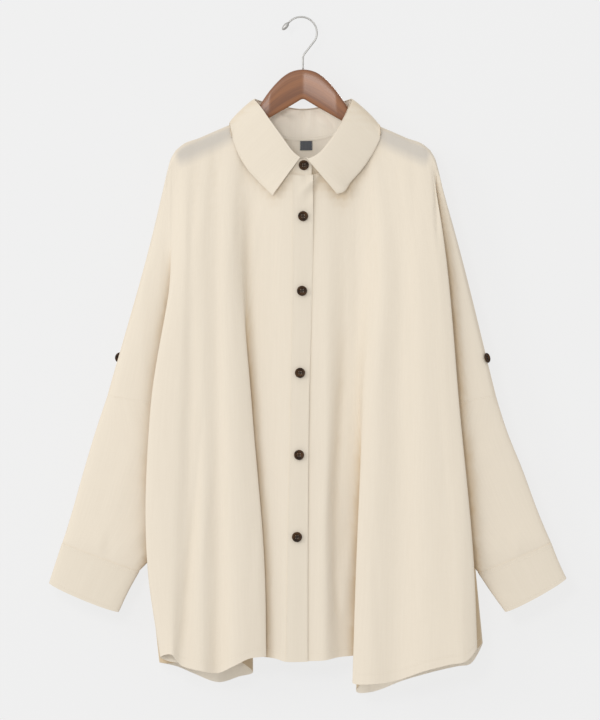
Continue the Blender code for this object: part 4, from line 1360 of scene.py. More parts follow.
@dataclass
class Body:
    """The fronts, the back and the buttonhole band.

    Attributes:
        density: How many stretches of cloth stand for one of the frame's.
        wall: The cloth's thickness.
        placket_wall: The band's thickness, which is folded cloth.
        single: The share of the wall that cloth has where it isn't turned over.
        hanger_shade_strength: How strongly the hanger's painted shade darkens the shoulders.
        shade_under: How far below the hanger its shade reaches, and over what length it fades.
        shade_over: The same above the hanger.
        shade_end: The distance out where the shade ends, and over what length it fades.
        arm_end: The share of the wall in the last two rows of an arm, which the sleeve is sewn to.
        chest_drop: The drop of level 1.
        waist_drop: The drop of level 2, the underarm.
        hip_drop: The drop of level 3.
        neck_half_width: From the stem to the neck point.
        neck_point_drop: The drop of the neck point.
        neck_roundness: How square the neckline is.
        shoulder_fore: How far forward the cloth starts at the shoulder line.
        shoulder_depth: The drop over which the shoulder's edge rounds off.
        tip_out: The shoulder line's length out to its tip.
        seam_half: Half the gap between the front and the back.
        top_edge_reach: The level down to which the true neckline is blended in.
        hem_rows: How many rows the turned hem has.
        hem_stitch: How many rows up the hem's stitches are.
        spare_step: How far apart the arms' rows run on below them, where nothing is made.
        free_lift: How far the band's free edge stands off the front.
        seam_lift: The same at its sewn edge.
        over: The right front's panel.
        under: The left front's.
        back: The back's.
        upper: The levels of the rows down to the underarm.
        lower: The levels of the rows below it.
        surfaces: The surfaces by the names of their nodes.
        spans: The first and the last column of each panel below its arms.
        trees: The surfaces as trees.
    """

    density: int = 4
    wall: float = 1.1
    placket_wall: float = 0.7
    single: float = 0.6
    hanger_shade_strength: float = 0.7
    shade_under: tuple[float, float] = (11.0, 18.0)
    shade_over: tuple[float, float] = (4.0, 8.0)
    shade_end: tuple[float, float] = (194.0, 8.0)
    arm_end: tuple[float, float] = (0.35, 0.15)
    chest_drop: float = 326.0
    waist_drop: float = 590.0
    hip_drop: float = 836.0
    neck_half_width: float = 85.0
    neck_point_drop: float = 149.0
    neck_roundness: float = 2.4
    shoulder_fore: float = 8.5
    shoulder_depth: float = 9.0
    tip_out: float = 191.0
    seam_half: float = 0.8
    top_edge_reach: float = 0.4
    hem_rows: int = 9
    hem_stitch: float = 8.2
    spare_step: float = 8.0
    free_lift: float = 0.75
    seam_lift: float = 0.65
    over: Panel = Panel(1, 88.0, 34.0)
    under: Panel = Panel(1, 88.0, 29.0)
    back: Panel = Panel(-1, 33.0, 26.0)
    upper: list[float] = field(default_factory=lambda: spaced(
        (0, 0.004, 0.02, 0.05, 0.12, 0.3, 1, 1.96, 2), (2, 4, 4, 5, 6, 16, 24, 2)))
    lower: list[float] = field(default_factory=lambda: spaced((2, 3, 3.88, 4), (24, 20, 9))[1:])
    surfaces: dict[str, Surface] = field(default_factory=dict)
    spans: dict[str, tuple[int, int]] = field(default_factory=dict)
    trees: dict[str, BVHTree] = field(default_factory=dict)

    def neck_share(self, out: float) -> float:
        """1 at the middle of the neckline, falling to 0 at the neck point."""
        return max(0.0, 1 - (abs(out) / self.neck_half_width) ** self.neck_roundness)

    def top_of(self, top: float, panel: Panel) -> Spot:
        """Where a fold line starts.

        Args:
            top: Its distance along the neckline, the shoulder and the fall beyond it.
            panel: The panel that it is on.

        Returns:
            Its distance out and its drop.
        """
        if top <= self.neck_half_width:
            return Spot(top, self.neck_point_drop + panel.neck_dip * self.neck_share(top))
        if top <= self.tip_out:
            outs, drops = zip(*SHOULDER_LINE)
            return Spot(top, float(smooth(outs, drops, top)[0]))
        fall = np.array(FALL_LINE, float)
        return Spot(*smooth(self.tip_out + path_lengths(fall), fall, top)[0])

    def fold_point(self, fold: Fold | Wing, panel: Panel, level: float) -> tuple[float, float, float]:
        """A fold line at a level.

        Args:
            fold: The fold line.
            panel: The panel that it is on.
            level: 0 at the top, 1 at the chest, 2 at the underarm, 3 at the hip, 4 at the hem.

        Returns:
            Distance out, distance forward and drop.
        """
        start = self.top_of(fold.top, panel)
        neck_fore = panel.neck_fore * math.sqrt(self.neck_share(fold.top))
        start_fore = max(neck_fore, min(self.shoulder_fore, fold.chest_fore))
        knots = [
            (start.drop, start.out, start_fore),
            (self.chest_drop, fold.chest, fold.chest_fore),
        ]
        if isinstance(fold, Wing):
            knots.append((self.waist_drop - fold.rise, fold.waist, fold.waist_fore))
        else:
            knots.append((self.waist_drop, fold.waist, fold.waist_fore))
            knots.append((self.hip_drop, fold.hip, (fold.waist_fore + fold.hem_fore) / 2))
            knots.append((fold.drop, fold.hem, fold.hem_fore))
        drops = [knot[0] for knot in knots]
        drop = float(np.interp(level, range(len(drops)), drops))
        out, fore = smooth(drops, [knot[1:] for knot in knots], drop)[0]
        rise_above = start.drop if fold.top > self.neck_half_width else self.neck_point_drop
        least = min(neck_fore / start_fore, 1) if start_fore else 1
        depth = min(max(drop - rise_above, 0) / self.shoulder_depth, 1)
        share = max(least, math.sqrt(1 - (1 - depth) ** 2))
        return out, fore - start_fore * (1 - share) + self.seam_half, drop

    def top_edge(self, lines: Sequence[Line], panel: Panel) -> np.ndarray:
        """The true neckline, shoulder and fall line.

        Args:
            lines: The panel's fold lines.
            panel: The panel.

        Returns:
            A point for each column of the panel.
        """
        tops = weave([(line.side * line.fold.top, 0, 0) for line in lines], [line.steps for line in lines])
        points = []
        for top in tops[:, 0]:
            start = self.top_of(abs(top), panel)
            fore = panel.neck_fore * math.sqrt(self.neck_share(top)) + self.seam_half
            points.append((math.copysign(start.out, top), fore, start.drop))
        return np.array(points)

    def rows(self, lines: Sequence[Line], panel: Panel, levels: Sequence[float]) -> np.ndarray:
        """Rows of points across a panel.

        Args:
            lines: The fold lines.
            panel: The panel.
            levels: One level for each row.

        Returns:
            The rows.
        """
        woven = {}
        for level in (0, *levels):
            points = []
            for line in lines:
                out, fore, drop = self.fold_point(line.fold, panel, level)
                points.append((line.side * out, fore, drop))
            woven[level] = weave(points, [line.steps for line in lines])
        slack = self.top_edge(lines, panel) - woven[0]
        rows = []
        for level in levels:
            taken = slack * max(0, 1 - level / self.top_edge_reach) ** 2
            rows.append(to_frame(woven[level] + taken, panel.facing))
        return np.array(rows)

    def half_lines(self, folds: Sequence[Fold | Wing], side: Side) -> list[Line]:
        """Fold lines of one side, from the garment's middle out to the arm."""
        return [Line(side.value, fold, fold.steps * self.density) for fold in folds]

    def back_lines(self) -> list[Line]:
        """The back's fold lines.

        Returns:
            The lines from the right arm's edge across to the left arm's edge.
        """
        right, left = (
            (*HALVES[side].back, *HALVES[side].front[-2:], *HALVES[side].wing) for side in Side)
        lines = [
            Line(Side.RIGHT.value, right[i], right[i - 1].steps * self.density)
            for i in range(len(right) - 1, 0, -1)
        ]
        return lines + self.half_lines(left, Side.LEFT)

    def with_arms(self, upper: np.ndarray, lower: np.ndarray, first: int) -> np.ndarray:
        """The rows of a body with arms above and without arms below, as one block of points.

        Args:
            upper: The rows down to the underarm.
            lower: The rows below it.
            first: The column of the upper rows where the lower ones start.

        Returns:
            All the rows. The arms' columns run straight on below, where nothing is made of them.
        """
        count = len(lower)
        below = np.repeat(upper[-1:], count, axis=0)
        below[..., 2] -= np.arange(1, count + 1)[:, None] * self.spare_step
        below[:, first:first + lower.shape[1]] = lower
        return np.concatenate((upper, below))

    def shade(self, points: np.ndarray) -> np.ndarray:
        """How much painted shade the hanger gives the cloth where it lies behind it.

        Args:
            points: The points of the cloth.

        Returns:
            The share at each point.
        """
        out = np.abs(points[..., 0])
        drop = -points[..., 2]
        arms = np.array(HANGER_ARM, float)
        top = np.interp(out, arms[:, 0], arms[:, 1])
        bottom = np.interp(out, arms[:, 0], arms[:, 2])
        share = np.clip((bottom + self.shade_under[0] - drop) / self.shade_under[1], 0, 1)
        share *= np.clip((drop - top + self.shade_over[0]) / self.shade_over[1], 0, 1)
        share *= np.clip((self.shade_end[0] - out) / self.shade_end[1], 0, 1)
        return share * self.hanger_shade_strength

    def shape_panel(self, name: str, lines: Sequence[Line], panel: Panel, flip: bool = False) -> None:
        """The surface of a front or of the back, cut in one with its upper arms.

        Args:
            name: The panel's name.
            lines: Its fold lines.
            panel: Which way it faces, and its neckline.
            flip: Whether its columns run to the wearer's right.
        """
        starts = np.cumsum([0] + [line.steps for line in lines])
        underarms = [int(start) for start, line in zip(starts, lines) if line.fold.name == "underarm"]
        first, last = (0, *underarms)[-2:]
        body = [line for line in lines if isinstance(line.fold, Fold)]
        end = len(self.upper) - 1
        surface = Surface(
            self.with_arms(self.rows(lines, panel, self.upper), self.rows(body, panel, self.lower), first),
            flip=flip,
            keep=lambda row, column: row < end or first <= column < last,
        )
        surface.crease(FRONT_CREASES if panel.facing > 0 else BACK_CREASES, panel.facing)
        thick = np.full(surface.points.shape[:2], self.single)
        thick[-self.hem_rows:] = 1.0
        thick[end - 1], thick[end] = self.arm_end
        thick[end - 1:end + 1, first:last + 1] = self.single
        surface.thick = thick
        # The hanger's painted shade, kept in the field named through.
        surface.fields["through"] = self.shade(surface.points)
        self.surfaces[name] = surface
        self.spans[name] = (first, last)

    def shape_placket(self) -> None:
        """The surface of the buttonhole band, along the right front's edge."""
        lines = self.half_lines(RIGHT_FRONT, Side.RIGHT)
        width = lines[0].steps
        points = self.rows(lines, self.over, [*self.upper, *self.lower])[:, : width + 1]
        points[..., 1] -= np.linspace(self.free_lift, self.seam_lift, width + 1)
        surface = Surface(points)
        surface.crease(FRONT_CREASES, 1)
        self.surfaces["placket"] = surface

    def shape(self) -> None:
        """All the surfaces of the body."""
        for side, panel in ((Side.RIGHT, self.over), (Side.LEFT, self.under)):
            lines = self.half_lines((*HALVES[side].front, *HALVES[side].wing), side)
            self.shape_panel(f"front_{side.name.lower()}", lines, panel, flip=side is Side.LEFT)
        self.shape_panel("back", self.back_lines(), self.back)
        self.shape_placket()
        self.trees = {name: surface.tree() for name, surface in self.surfaces.items()}

    def dress(self, wardrobe: Wardrobe) -> None:
        """The pieces of the body, with the stitches of the hems and of the band's two edges.

        Args:
            wardrobe: The finishes.
        """
        for name in self.spans:
            # Their inner faces take the inner finish's painted light.
            add_cloth(name, self.surfaces[name], self.wall, wardrobe.body, inner=wardrobe.inner)
        band = self.surfaces["placket"]
        add_cloth("placket", band, self.placket_wall, wardrobe.firm)
        for name, (first, last) in self.spans.items():
            surface = self.surfaces[name]
            hem = Sewing()
            across = np.linspace(first + 0.5, last - 0.5, (last - first) * 2)
            hem.follow(surface, len(surface.points) - self.hem_stitch, across)
            hem.piece(f"stitches_hem_{name}", wardrobe.thread)
        rows, columns = band.points.shape[:2]
        edges = Sewing()
        for column in (0.5, columns - 1.5):
            edges.follow(band, np.linspace(1, rows - 1.2, rows * 2), column)
        edges.piece("stitches_band", wardrobe.thread)


@dataclass
class Sleeves:
    """The lower sleeves and the cuffs.

    Attributes:
        body: The body, which the sleeves are sewn to.
        sides: Stretches across a sleeve on each face, for each of the body's density.
        steps: Rows of cloth from one section to the next.
        tuck_steps: The same where a seam is tucked in.
        roundness: 1 is an ellipse, and less is squarer.
        wall: The cloth's thickness.
        cuff_wall: The cuff's, which is folded cloth.
        cuff_edge: The share of it at the seam.
        tuck_level: The level of the body where a sleeve starts, inside the arm.
        tuck_depth: How far the tucked ends lie inside.
        tuck_above: The share of that depth in the tuck at the arm, and in the row after it.
        tuck_below: The same in the tuck at the cuff, and in the row before it.
        tuck_share: How far into the cuff's first half the sleeve runs.
        underarm_clear: How far the seam stays clear of the body at the underarm.
        seam_rows: The rows of the cuff's seam stitches, and how far in its hem's are.
        surfaces: The surfaces by the names of their nodes.
    """

    body: Body
    sides: int = 8
    steps: int = 8
    tuck_steps: int = 2
    roundness: float = 0.8
    wall: float = 1.1
    cuff_wall: float = 1.7
    cuff_edge: float = 0.35
    tuck_level: float = 1.983
    tuck_depth: float = 0.5
    tuck_above: tuple[float, float] = (1.0, 0.3)
    tuck_below: tuple[float, float] = (1.1, 0.5)
    tuck_share: float = 0.1
    underarm_clear: float = 1.6
    seam_rows: tuple[float, float] = (0.35, 1.3)
    surfaces: dict[str, Surface] = field(default_factory=dict)

    def ring(self, section: Section, side: Side) -> np.ndarray:
        """A flat tube's section: across its front from the outer edge, then back behind.

        Args:
            section: The section.
            side: The sleeve's side.

        Returns:
            The points round it.
        """
        sides = self.sides * self.body.density
        turn = np.pi * np.arange(2 * sides + 1) / sides
        share = (1 - np.cos(turn)) / 2
        out = section.out + (section.inner_out - section.out) * share
        drop = section.drop + (section.inner_drop - section.drop) * share
        drop = drop + section.sag * np.abs(np.sin(turn))
        fore = squared(np.sin(turn), self.roundness) * section.fore
        return to_frame(np.stack((side.value * out, fore, drop), axis=-1))

    def tube(self, rings: Sequence[np.ndarray], steps: Sequence[int]) -> np.ndarray:
        """Rings joined by smooth lengths of tube, each of its own number of rows."""
        block = np.array(rings)
        return np.stack([weave(block[:, k], steps) for k in range(block.shape[1])], axis=1)

    def seam_ring(self, side: Side, level: float) -> np.ndarray:
        """The ring that the front and the back make round the arm at a level.

        Args:
            side: The sleeve's side.
            level: 2 at the sleeve seam, and less above it.

        Returns:
            The points round it.
        """
        body = self.body
        lines = body.half_lines((*HALVES[side].front[-2:], *HALVES[side].wing), side)
        skip = lines[0].steps
        front = body.rows(lines, body.over, (level,))[0][skip:]
        back = body.rows(lines, body.back, (level,))[0][skip:]
        for end in (0, -1):
            front[end] = back[end] = (front[end] + back[end]) / 2
        ring = np.concatenate((front[::-1], back[1:]))
        reach = abs(front[-1, 0] - front[0, 0])
        from_underarm = np.abs(ring[:, 0] - front[0, 0]) / reach
        ring[:, 0] += side.value * self.underarm_clear * (1 - from_underarm) ** 2
        return ring

    def shape(self, side: Side) -> None:
        """The surfaces of one sleeve and its cuff.

        Args:
            side: The sleeve's side.
        """
        half = HALVES[side]
        flip = side is Side.RIGHT
        rings = [self.seam_ring(side, level) for level in (self.tuck_level, 2)]
        rings += [self.ring(section, side) for section in half.sleeve]
        cuff_rings = [self.ring(section, side) for section in half.cuff]
        rings.append(cuff_rings[0] + (cuff_rings[1] - cuff_rings[0]) * self.tuck_share)
        steps = [self.tuck_steps] + [self.steps] * len(half.sleeve) + [self.tuck_steps]
        sleeve = Surface(self.tube(rings, steps), flip=flip, closed=True)
        sleeve.crease(SLEEVE_CREASES, 1)
        share = np.zeros(len(sleeve.points))
        share[: self.tuck_steps] = self.tuck_above[0]
        share[self.tuck_steps] = self.tuck_above[1]
        share[-self.tuck_steps - 1:] = self.tuck_below[0]
        share[-self.tuck_steps - 2] = self.tuck_below[1]
        sleeve.points = sleeve.points - sleeve.normals() * self.tuck_depth * share[:, None, None]
        sleeve.thick = np.full(sleeve.points.shape[:2], self.body.single)
        cuff = Surface(self.tube(cuff_rings, [self.steps] * 2), flip=flip, closed=True)
        cuff.thick = np.ones(cuff.points.shape[:2])
        cuff.thick[0] = self.cuff_edge
        word = side.name.lower()
        self.surfaces.update({f"sleeve_{word}": sleeve, f"cuff_{word}": cuff})

    def dress(self, side: Side, wardrobe: Wardrobe) -> None:
        """One sleeve with its cuff and their stitches.

        Args:
            side: The sleeve's side.
            wardrobe: The finishes.
        """
        word = side.name.lower()
        sleeve = self.surfaces[f"sleeve_{word}"]
        cuff = self.surfaces[f"cuff_{word}"]
        # Its inner face takes the inner finish's painted light.
        add_cloth(f"sleeve_{word}", sleeve, self.wall, wardrobe.body,
                  inner=wardrobe.inner)
        add_cloth(f"cuff_{word}", cuff, self.cuff_wall, wardrobe.firm)
        stitches = Sewing()
        rows, columns = cuff.points.shape[:2]
        around = np.linspace(0, columns - 1, columns * 2)
        for row in (*self.seam_rows, rows - 1 - self.seam_rows[1]):
            stitches.follow(cuff, row, around)
        stitches.follow(sleeve, self.tuck_steps + self.seam_rows[0], around)
        stitches.piece(f"stitches_sleeve_{word}", wardrobe.thread)


@dataclass
class Collar:
    """The stand round the neck, and the fall that rolls over it.

    Attributes:
        body: The body, whose neckline the stand follows.
        density: How many stretches of cloth stand for one of the tables'.
        wall: The thickness of the stand and the fall, which are folded cloth.
        bulge: How far the fall's middle stands out.
        rest: How far the fall stays clear of what is under it.
        seam_lap: How far the stand reaches past the neckline.
        seam_inset: How far inside the body it lies there.
        tuck_in: How far the stand's top lies inside the roll.
        tuck_down: How far below the roll it lies.
        under_reach: The angle over which the stand goes behind its own other end.
        underlap: How far behind that it goes.
        stitch_rows: How many rows in from the fall's edge its stitches are.
        stitch_columns: The same for the columns at its two ends.
        end_places: How many places the stitches down an end are read at.
        stand_rows: The shares of the stand's height where its rows are.
        fall_rows: The same for the fall.
        surfaces: The surfaces of the two.
    """

    body: Body
    density: int = 4
    wall: float = 1.3
    bulge: float = 4.0
    rest: float = 0.8
    seam_lap: float = 2.0
    seam_inset: float = 0.9
    tuck_in: float = 1.5
    tuck_down: float = 2.5
    under_reach: float = 50.0
    underlap: float = 5.0
    stitch_rows: float = 3.6
    stitch_columns: float = 3.0
    end_places: int = 40
    stand_rows: list[float] = field(default_factory=lambda: spaced((0, 0.3, 0.65, 1), (4, 4, 4)))
    fall_rows: list[float] = field(default_factory=lambda: spaced(
        (0, 0.05, 0.15, 0.35, 0.65, 0.94, 1), (3, 3, 4, 5, 5, 3)))
    surfaces: dict[str, Surface] = field(default_factory=dict)

    def neck_point(self, angle: float) -> tuple[float, float, float]:
        """A point of the neckline, from the angle round it.

        Args:
            angle: Degrees from the front, through -90 at the right shoulder.

        Returns:
            Distance out, distance forward and drop.
        """
        body = self.body
        turn = math.radians(angle)
        x = body.neck_half_width * math.sin(turn)
        panel = body.back
        if math.cos(turn) > 0:
            panel = body.over if angle > -180 else body.under
        share = body.neck_share(x)
        fore = panel.neck_fore * math.sqrt(share) + body.seam_half * abs(math.cos(turn))
        return x, panel.facing * fore, body.neck_point_drop + panel.neck_dip * share

    def shape_stand(self) -> None:
        """The surface of the stand, from the neckline up to just inside the roll."""
        rows = list(STAND_OVER_END)
        for row in COLLAR_ROWS:
            under = max(0, 1 - (row.angle + 360) / self.under_reach)
            inward = 1 - self.tuck_in / math.hypot(row.roll_x, row.roll_fore)
            fore = row.roll_fore * inward - self.underlap * under
            drop = row.roll_drop + self.tuck_down
            rows.append(StandRow(row.name, row.roll_x * inward, drop, fore, row.angle, row.steps + 1))
        rows += STAND_UNDER_END
        steps = [row.steps * self.density for row in rows]
        top = weave([(row.top_x, row.top_fore, row.top_drop) for row in rows], steps)
        angles = weave([(row.angle, 0, 0) for row in rows], steps)[:, 0]
        base = np.array([self.neck_point(angle) for angle in angles])
        rise = top - base
        base -= rise * (self.seam_lap / np.linalg.norm(rise, axis=1))[:, None]
        inward = base * (1, 1, 0)
        base -= inward * (self.seam_inset / np.linalg.norm(inward, axis=1))[:, None]
        surface = Surface(np.array([to_frame(top + (base - top) * share) for share in self.stand_rows]))
        surface.crease(NECK_CREASES, -1)
        self.surfaces["stand"] = surface

    def shape_fall(self) -> None:
        """The surface of the fall, rolled over the stand and clear of what lies under it."""
        steps = [row.steps * self.density for row in COLLAR_ROWS]
        roll = weave([(row.roll_x, row.roll_fore, row.roll_drop) for row in COLLAR_ROWS], steps)
        edge = weave([(row.edge_x, row.edge_fore, row.edge_drop) for row in COLLAR_ROWS], steps)
        outward = roll * (1, 1, 0)
        outward /= np.linalg.norm(outward, axis=1)[:, None]
        rows = []
        for share in self.fall_rows:
            bulge = self.bulge * math.sqrt(4 * share * (1 - share))
            rows.append(to_frame(roll + (edge - roll) * share + outward * bulge))
        trees = [self.surfaces["stand"].tree()]
        trees += [self.body.trees[name] for name in ("front_right", "front_left", "back")]
        self.surfaces["fall"] = Surface(clear_of(np.array(rows), trees, self.wall + self.rest))

    def dress(self, wardrobe: Wardrobe) -> None:
        """The stand with the stitches of its seam on both faces, and the fall with its edge's.

        Args:
            wardrobe: The finishes.
        """
        stand = self.surfaces["stand"]
        fall = self.surfaces["fall"]
        # The stand's inner face takes the neck finish's painted light.
        add_cloth("collar_stand", stand, self.wall, wardrobe.firm, inner=wardrobe.neck)
        add_cloth("collar_fall", fall, self.wall, wardrobe.firm)

        rows, columns = stand.points.shape[:2]
        along = np.linspace(1, columns - 2, columns * 2)
        points, normals = stand.line(np.full(len(along), rows - 2.0), along)
        seam = Sewing()
        seam.run(points - normals * self.wall, -normals)
        seam.run(points, normals)
        seam.piece("stitches_stand", wardrobe.thread)

        rows, columns = fall.points.shape[:2]
        row = rows - self.stitch_rows
        ends = (self.stitch_columns, columns - 1 - self.stitch_columns)
        edge = Sewing()
        edge.follow(fall, row, np.linspace(*ends, columns * 2))
        for column in ends:
            edge.follow(fall, np.linspace(self.stitch_columns, row, self.end_places), column)
        edge.piece("stitches_collar", wardrobe.thread)


@dataclass
class Label:
    """The bare woven label inside the back neck.

    Attributes:
        wall: Its thickness.
        left: The distance out of its left edge.
        right: The distance out of its right edge.
        top: The drop of its top edge.
        height: Its height.
        behind: How far inside the back's outer face it lies.
        rows: How many rows of points it has.
        columns: How many columns.
        stitch_inset: How many columns in from an edge its stitches are.
    """

    wall: float = 0.7
    left: float = -4.5
    right: float = 14.0
    top: float = 184.5
    height: float = 14.0
    behind: float = 1.5
    rows: int = 15
    columns: int = 20
    stitch_inset: float = 0.8

    def make(self, back: BVHTree, wardrobe: Wardrobe) -> None:
        """The label, on the back's inner side.

        Args:
            back: The back's surface.
            wardrobe: The finishes.
        """
        rows = []
        for drop in np.linspace(self.top, self.top + self.height, self.rows):
            row = []
            for x in np.linspace(self.left, self.right, self.columns):
                hit = back.ray_cast(in_metres((x, 0, -drop)), BACKWARD)[0]
                row.append((x, hit.y / MM - self.behind - self.wall, -drop))
            rows.append(row)
        surface = Surface(np.array(rows), flip=True)
        add_cloth("label", surface, self.wall, wardrobe.tape)
        stitches = Sewing(pitch=1.6, length=1.2, radius=0.16)
        for column in (self.stitch_inset, self.columns - 1 - self.stitch_inset):
            stitches.follow(surface, np.linspace(1, self.rows - 2, 20), column)
        stitches.piece("stitches_label", wardrobe.thread)


@dataclass
class Buttons:
    """Four-hole buttons, each sewn on where its frame node lies.

    Attributes:
        thickness: A button's thickness at its rim.
        sides: How many sides it has.
        hole_radius: The radius of a hole.
        hole_sides: How many sides a hole has.
        hole_spacing: From one hole to the next.
        lift: How far a button on an arm's edge stands off the cloth.
        sharp_angle: The angle in degrees from which an edge is sharp.
        thread_size: Half the length, width and height of a thread over the holes.
        thread_height: The share of the thickness where it lies.
        shank: The lower radius, upper radius, length and middle of the thread under the button.
        arm_places: The distances forward that are tried for an arm's outermost place.
        slope_reach: How far above and below a button the slope of the arm's edge is read.
        edge_seats: For the buttons on an arm's edge, the share that each faces the front, and how
            far in from the edge it is.
        profile: Half of the outline, from the middle of the face out and under to the back: the
            distance out, and the height as a share of the thickness.
    """

    thickness: float = 3.2
    sides: int = 48
    hole_radius: float = 0.85
    hole_sides: int = 16
    hole_spacing: float = 3.2
    lift: float = 0.4
    sharp_angle: float = 50.0
    thread_size: tuple[float, float, float] = (1.75, 0.42, 0.42)
    thread_height: float = 0.62
    shank: tuple[float, float, float, float] = (2.0, 1.6, 2.4, -1.0)
    arm_places: tuple[float, float, float] = (-32.0, -14.0, 0.25)
    slope_reach: float = 4.0
    edge_seats: dict[str, tuple[float, float]] = field(
        default_factory=lambda: {"tab_button_right": (-0.8, 6.3), "tab_button_left": (0.5, 1.6)})
    profile: tuple[tuple[float, float], ...] = (
        (0, 0.55), (2.2, 0.55), (3.9, 0.58), (4.8, 0.72), (5.4, 0.93), (6.0, 1), (6.7, 0.97), (7.3, 0.82),
        (7.6, 0.6), (7.4, 0.34), (6.4, 0.1), (5.2, 0), (0, 0),
    )

    def disc(self) -> bpy.types.Mesh:
        """One button without holes, its back at the origin and its face up.

        Returns:
            The mesh.
        """
        mesh = bmesh.new()
        verts = [mesh.verts.new((x * MM, 0, self.thickness * share * MM)) for x, share in self.profile]
        edges = [mesh.edges.new(pair) for pair in zip(verts, verts[1:])]
        bmesh.ops.spin(
            mesh, geom=verts + edges, cent=(0, 0, 0), axis=(0, 0, 1), angle=2 * math.pi,
            steps=self.sides, use_merge=True,
        )
        bmesh.ops.remove_doubles(mesh, verts=mesh.verts, dist=WELD * MM)
        bmesh.ops.recalc_face_normals(mesh, faces=mesh.faces)
        return new_mesh("button_disc", mesh)

    def drilled(self) -> bpy.types.Mesh:
        """One button with its holes.

        Returns:
            The mesh.
        """
        disc = new_object("button_disc", self.disc())
        drills = bmesh.new()
        turn = Matrix.Rotation(math.pi / self.hole_sides, 4, "Z")
        for k in range(4):
            angle = math.radians(45 + 90 * k)
            place = Vector((math.cos(angle), math.sin(angle), 0)) * self.hole_spacing / math.sqrt(2)
            bmesh.ops.create_cone(
                drills, cap_ends=True, segments=self.hole_sides, radius1=self.hole_radius * MM,
                radius2=self.hole_radius * MM, depth=4 * self.thickness * MM,
                matrix=Matrix.Translation(place * MM) @ turn,
            )
        cutter = new_object("button_drills", new_mesh("button_drills", drills))
        holes = disc.modifiers.new("holes", "BOOLEAN")
        holes.operation = "DIFFERENCE"
        holes.object = cutter
        made = settled(disc)
        bpy.data.objects.remove(cutter)
        return made

    def arm_edge(self, tree: BVHTree, side: Vector, height: float) -> Vector:
        """The outermost place of an arm at a height.

        Args:
            tree: The front's surface.
            side: The way that the arm lies.
            height: The height.

        Returns:
            The place.
        """
        places = []
        for y in np.arange(*self.arm_places):
            place = tree.ray_cast(Vector((0, y * MM, height)) + side, -side)[0]
            if place is not None:
                places.append((place.dot(side), tuple(place)))
        return Vector(max(places)[1])

    def on_edge(self, middle: Vector, trees: Sequence[BVHTree], facing: float,
                inset: float) -> tuple[Vector, Vector]:
        """A seat near an arm's edge that faces the front by a given share.

        Args:
            middle: The middle of the button's node.
            trees: The surfaces of the front and the back.
            facing: 0 where the button faces sideways, 1 for the front and -1 for the back.
            inset: How far in from the arm's edge it is sewn on.

        Returns:
            The place on the cloth, and the way that the button faces.
        """
        side = Vector((math.copysign(1, middle.x), 0, 0))
        reach = self.slope_reach * MM
        edge, above, below = (
            self.arm_edge(trees[0], side, middle.z + rise) for rise in (0, reach, -reach))
        outward = (above - below).cross(FORWARD).normalized()
        if outward.dot(side) < 0:
            outward = -outward
        up = outward * math.sqrt(1 - facing ** 2) + FORWARD * facing
        start = edge - side * inset * MM + up * 0.1
        hits = [tree.ray_cast(start, -up) for tree in trees]
        place = min((hit for hit in hits if hit[0] is not None), key=lambda hit: hit[3])[0]
        return place + up * self.lift * MM, up

    def seat(self, node: str, trees: dict[str, BVHTree]) -> Matrix:
        """Where a button's node lies: its back's centre, with its face along Z.

        Args:
            node: The node's name.
            trees: The surfaces of the body, by name.

        Returns:
            The matrix that brings a button there.
        """
        points = np.array([vert.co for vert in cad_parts[node].data.vertices], float)
        middle = points.mean(axis=0)
        up = Vector(np.linalg.svd(points - middle, full_matrices=False)[2][2])
        outward = BACKWARD if node.startswith("cuff") else FORWARD
        if up.dot(outward) < 0:
            up = -up
        depths = (points - middle) @ np.array(up)
        back = Vector(middle) + up * float(depths.min())
        if node in self.edge_seats:
            front = trees["front_right" if middle[0] < 0 else "front_left"]
            back, up = self.on_edge(Vector(middle), (front, trees["back"]), *self.edge_seats[node])
        return Matrix.Translation(back) @ up.to_track_quat("Z", "Y").to_matrix().to_4x4()

    def thread(self, place: Matrix) -> bmesh.types.BMesh:
        """The crossed threads on a button, and the thread under it.

        Args:
            place: The button's place.

        Returns:
            The edited mesh.
        """
        mesh = bmesh.new()
        height = Matrix.Translation((0, 0, self.thickness * self.thread_height * MM))
        size = Matrix.Diagonal((*(value * MM for value in self.thread_size), 1))
        for turn in (45, 135):
            run = Matrix.Rotation(math.radians(turn), 4, "Z")
            bmesh.ops.create_icosphere(mesh, subdivisions=2, radius=1, matrix=place @ height @ run @ size)
        lower, upper, length, middle = (value * MM for value in self.shank)
        bmesh.ops.create_cone(
            mesh, cap_ends=True, segments=12, radius1=lower, radius2=upper, depth=length,
            matrix=place @ Matrix.Translation((0, 0, middle)),
        )
        return mesh

    def make(self, trees: dict[str, BVHTree], wardrobe: Wardrobe) -> None:
        """All the buttons with their thread.

        Args:
            trees: The surfaces of the body, by name.
            wardrobe: The finishes.
        """
        blank = self.drilled()
        for node in sorted(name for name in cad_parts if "button" in name):
            place = self.seat(node, trees)
            disc = bmesh.new()
            disc.from_mesh(blank)
            bmesh.ops.transform(disc, matrix=place, verts=disc.verts)
            piece = add_piece(f"{node}_horn", disc, wardrobe.horn, [node])
            piece.data.set_sharp_from_angle(angle=math.radians(self.sharp_angle))
            add_piece(f"{node}_thread", self.thread(place), wardrobe.button_thread)
        bpy.data.meshes.remove(blank)


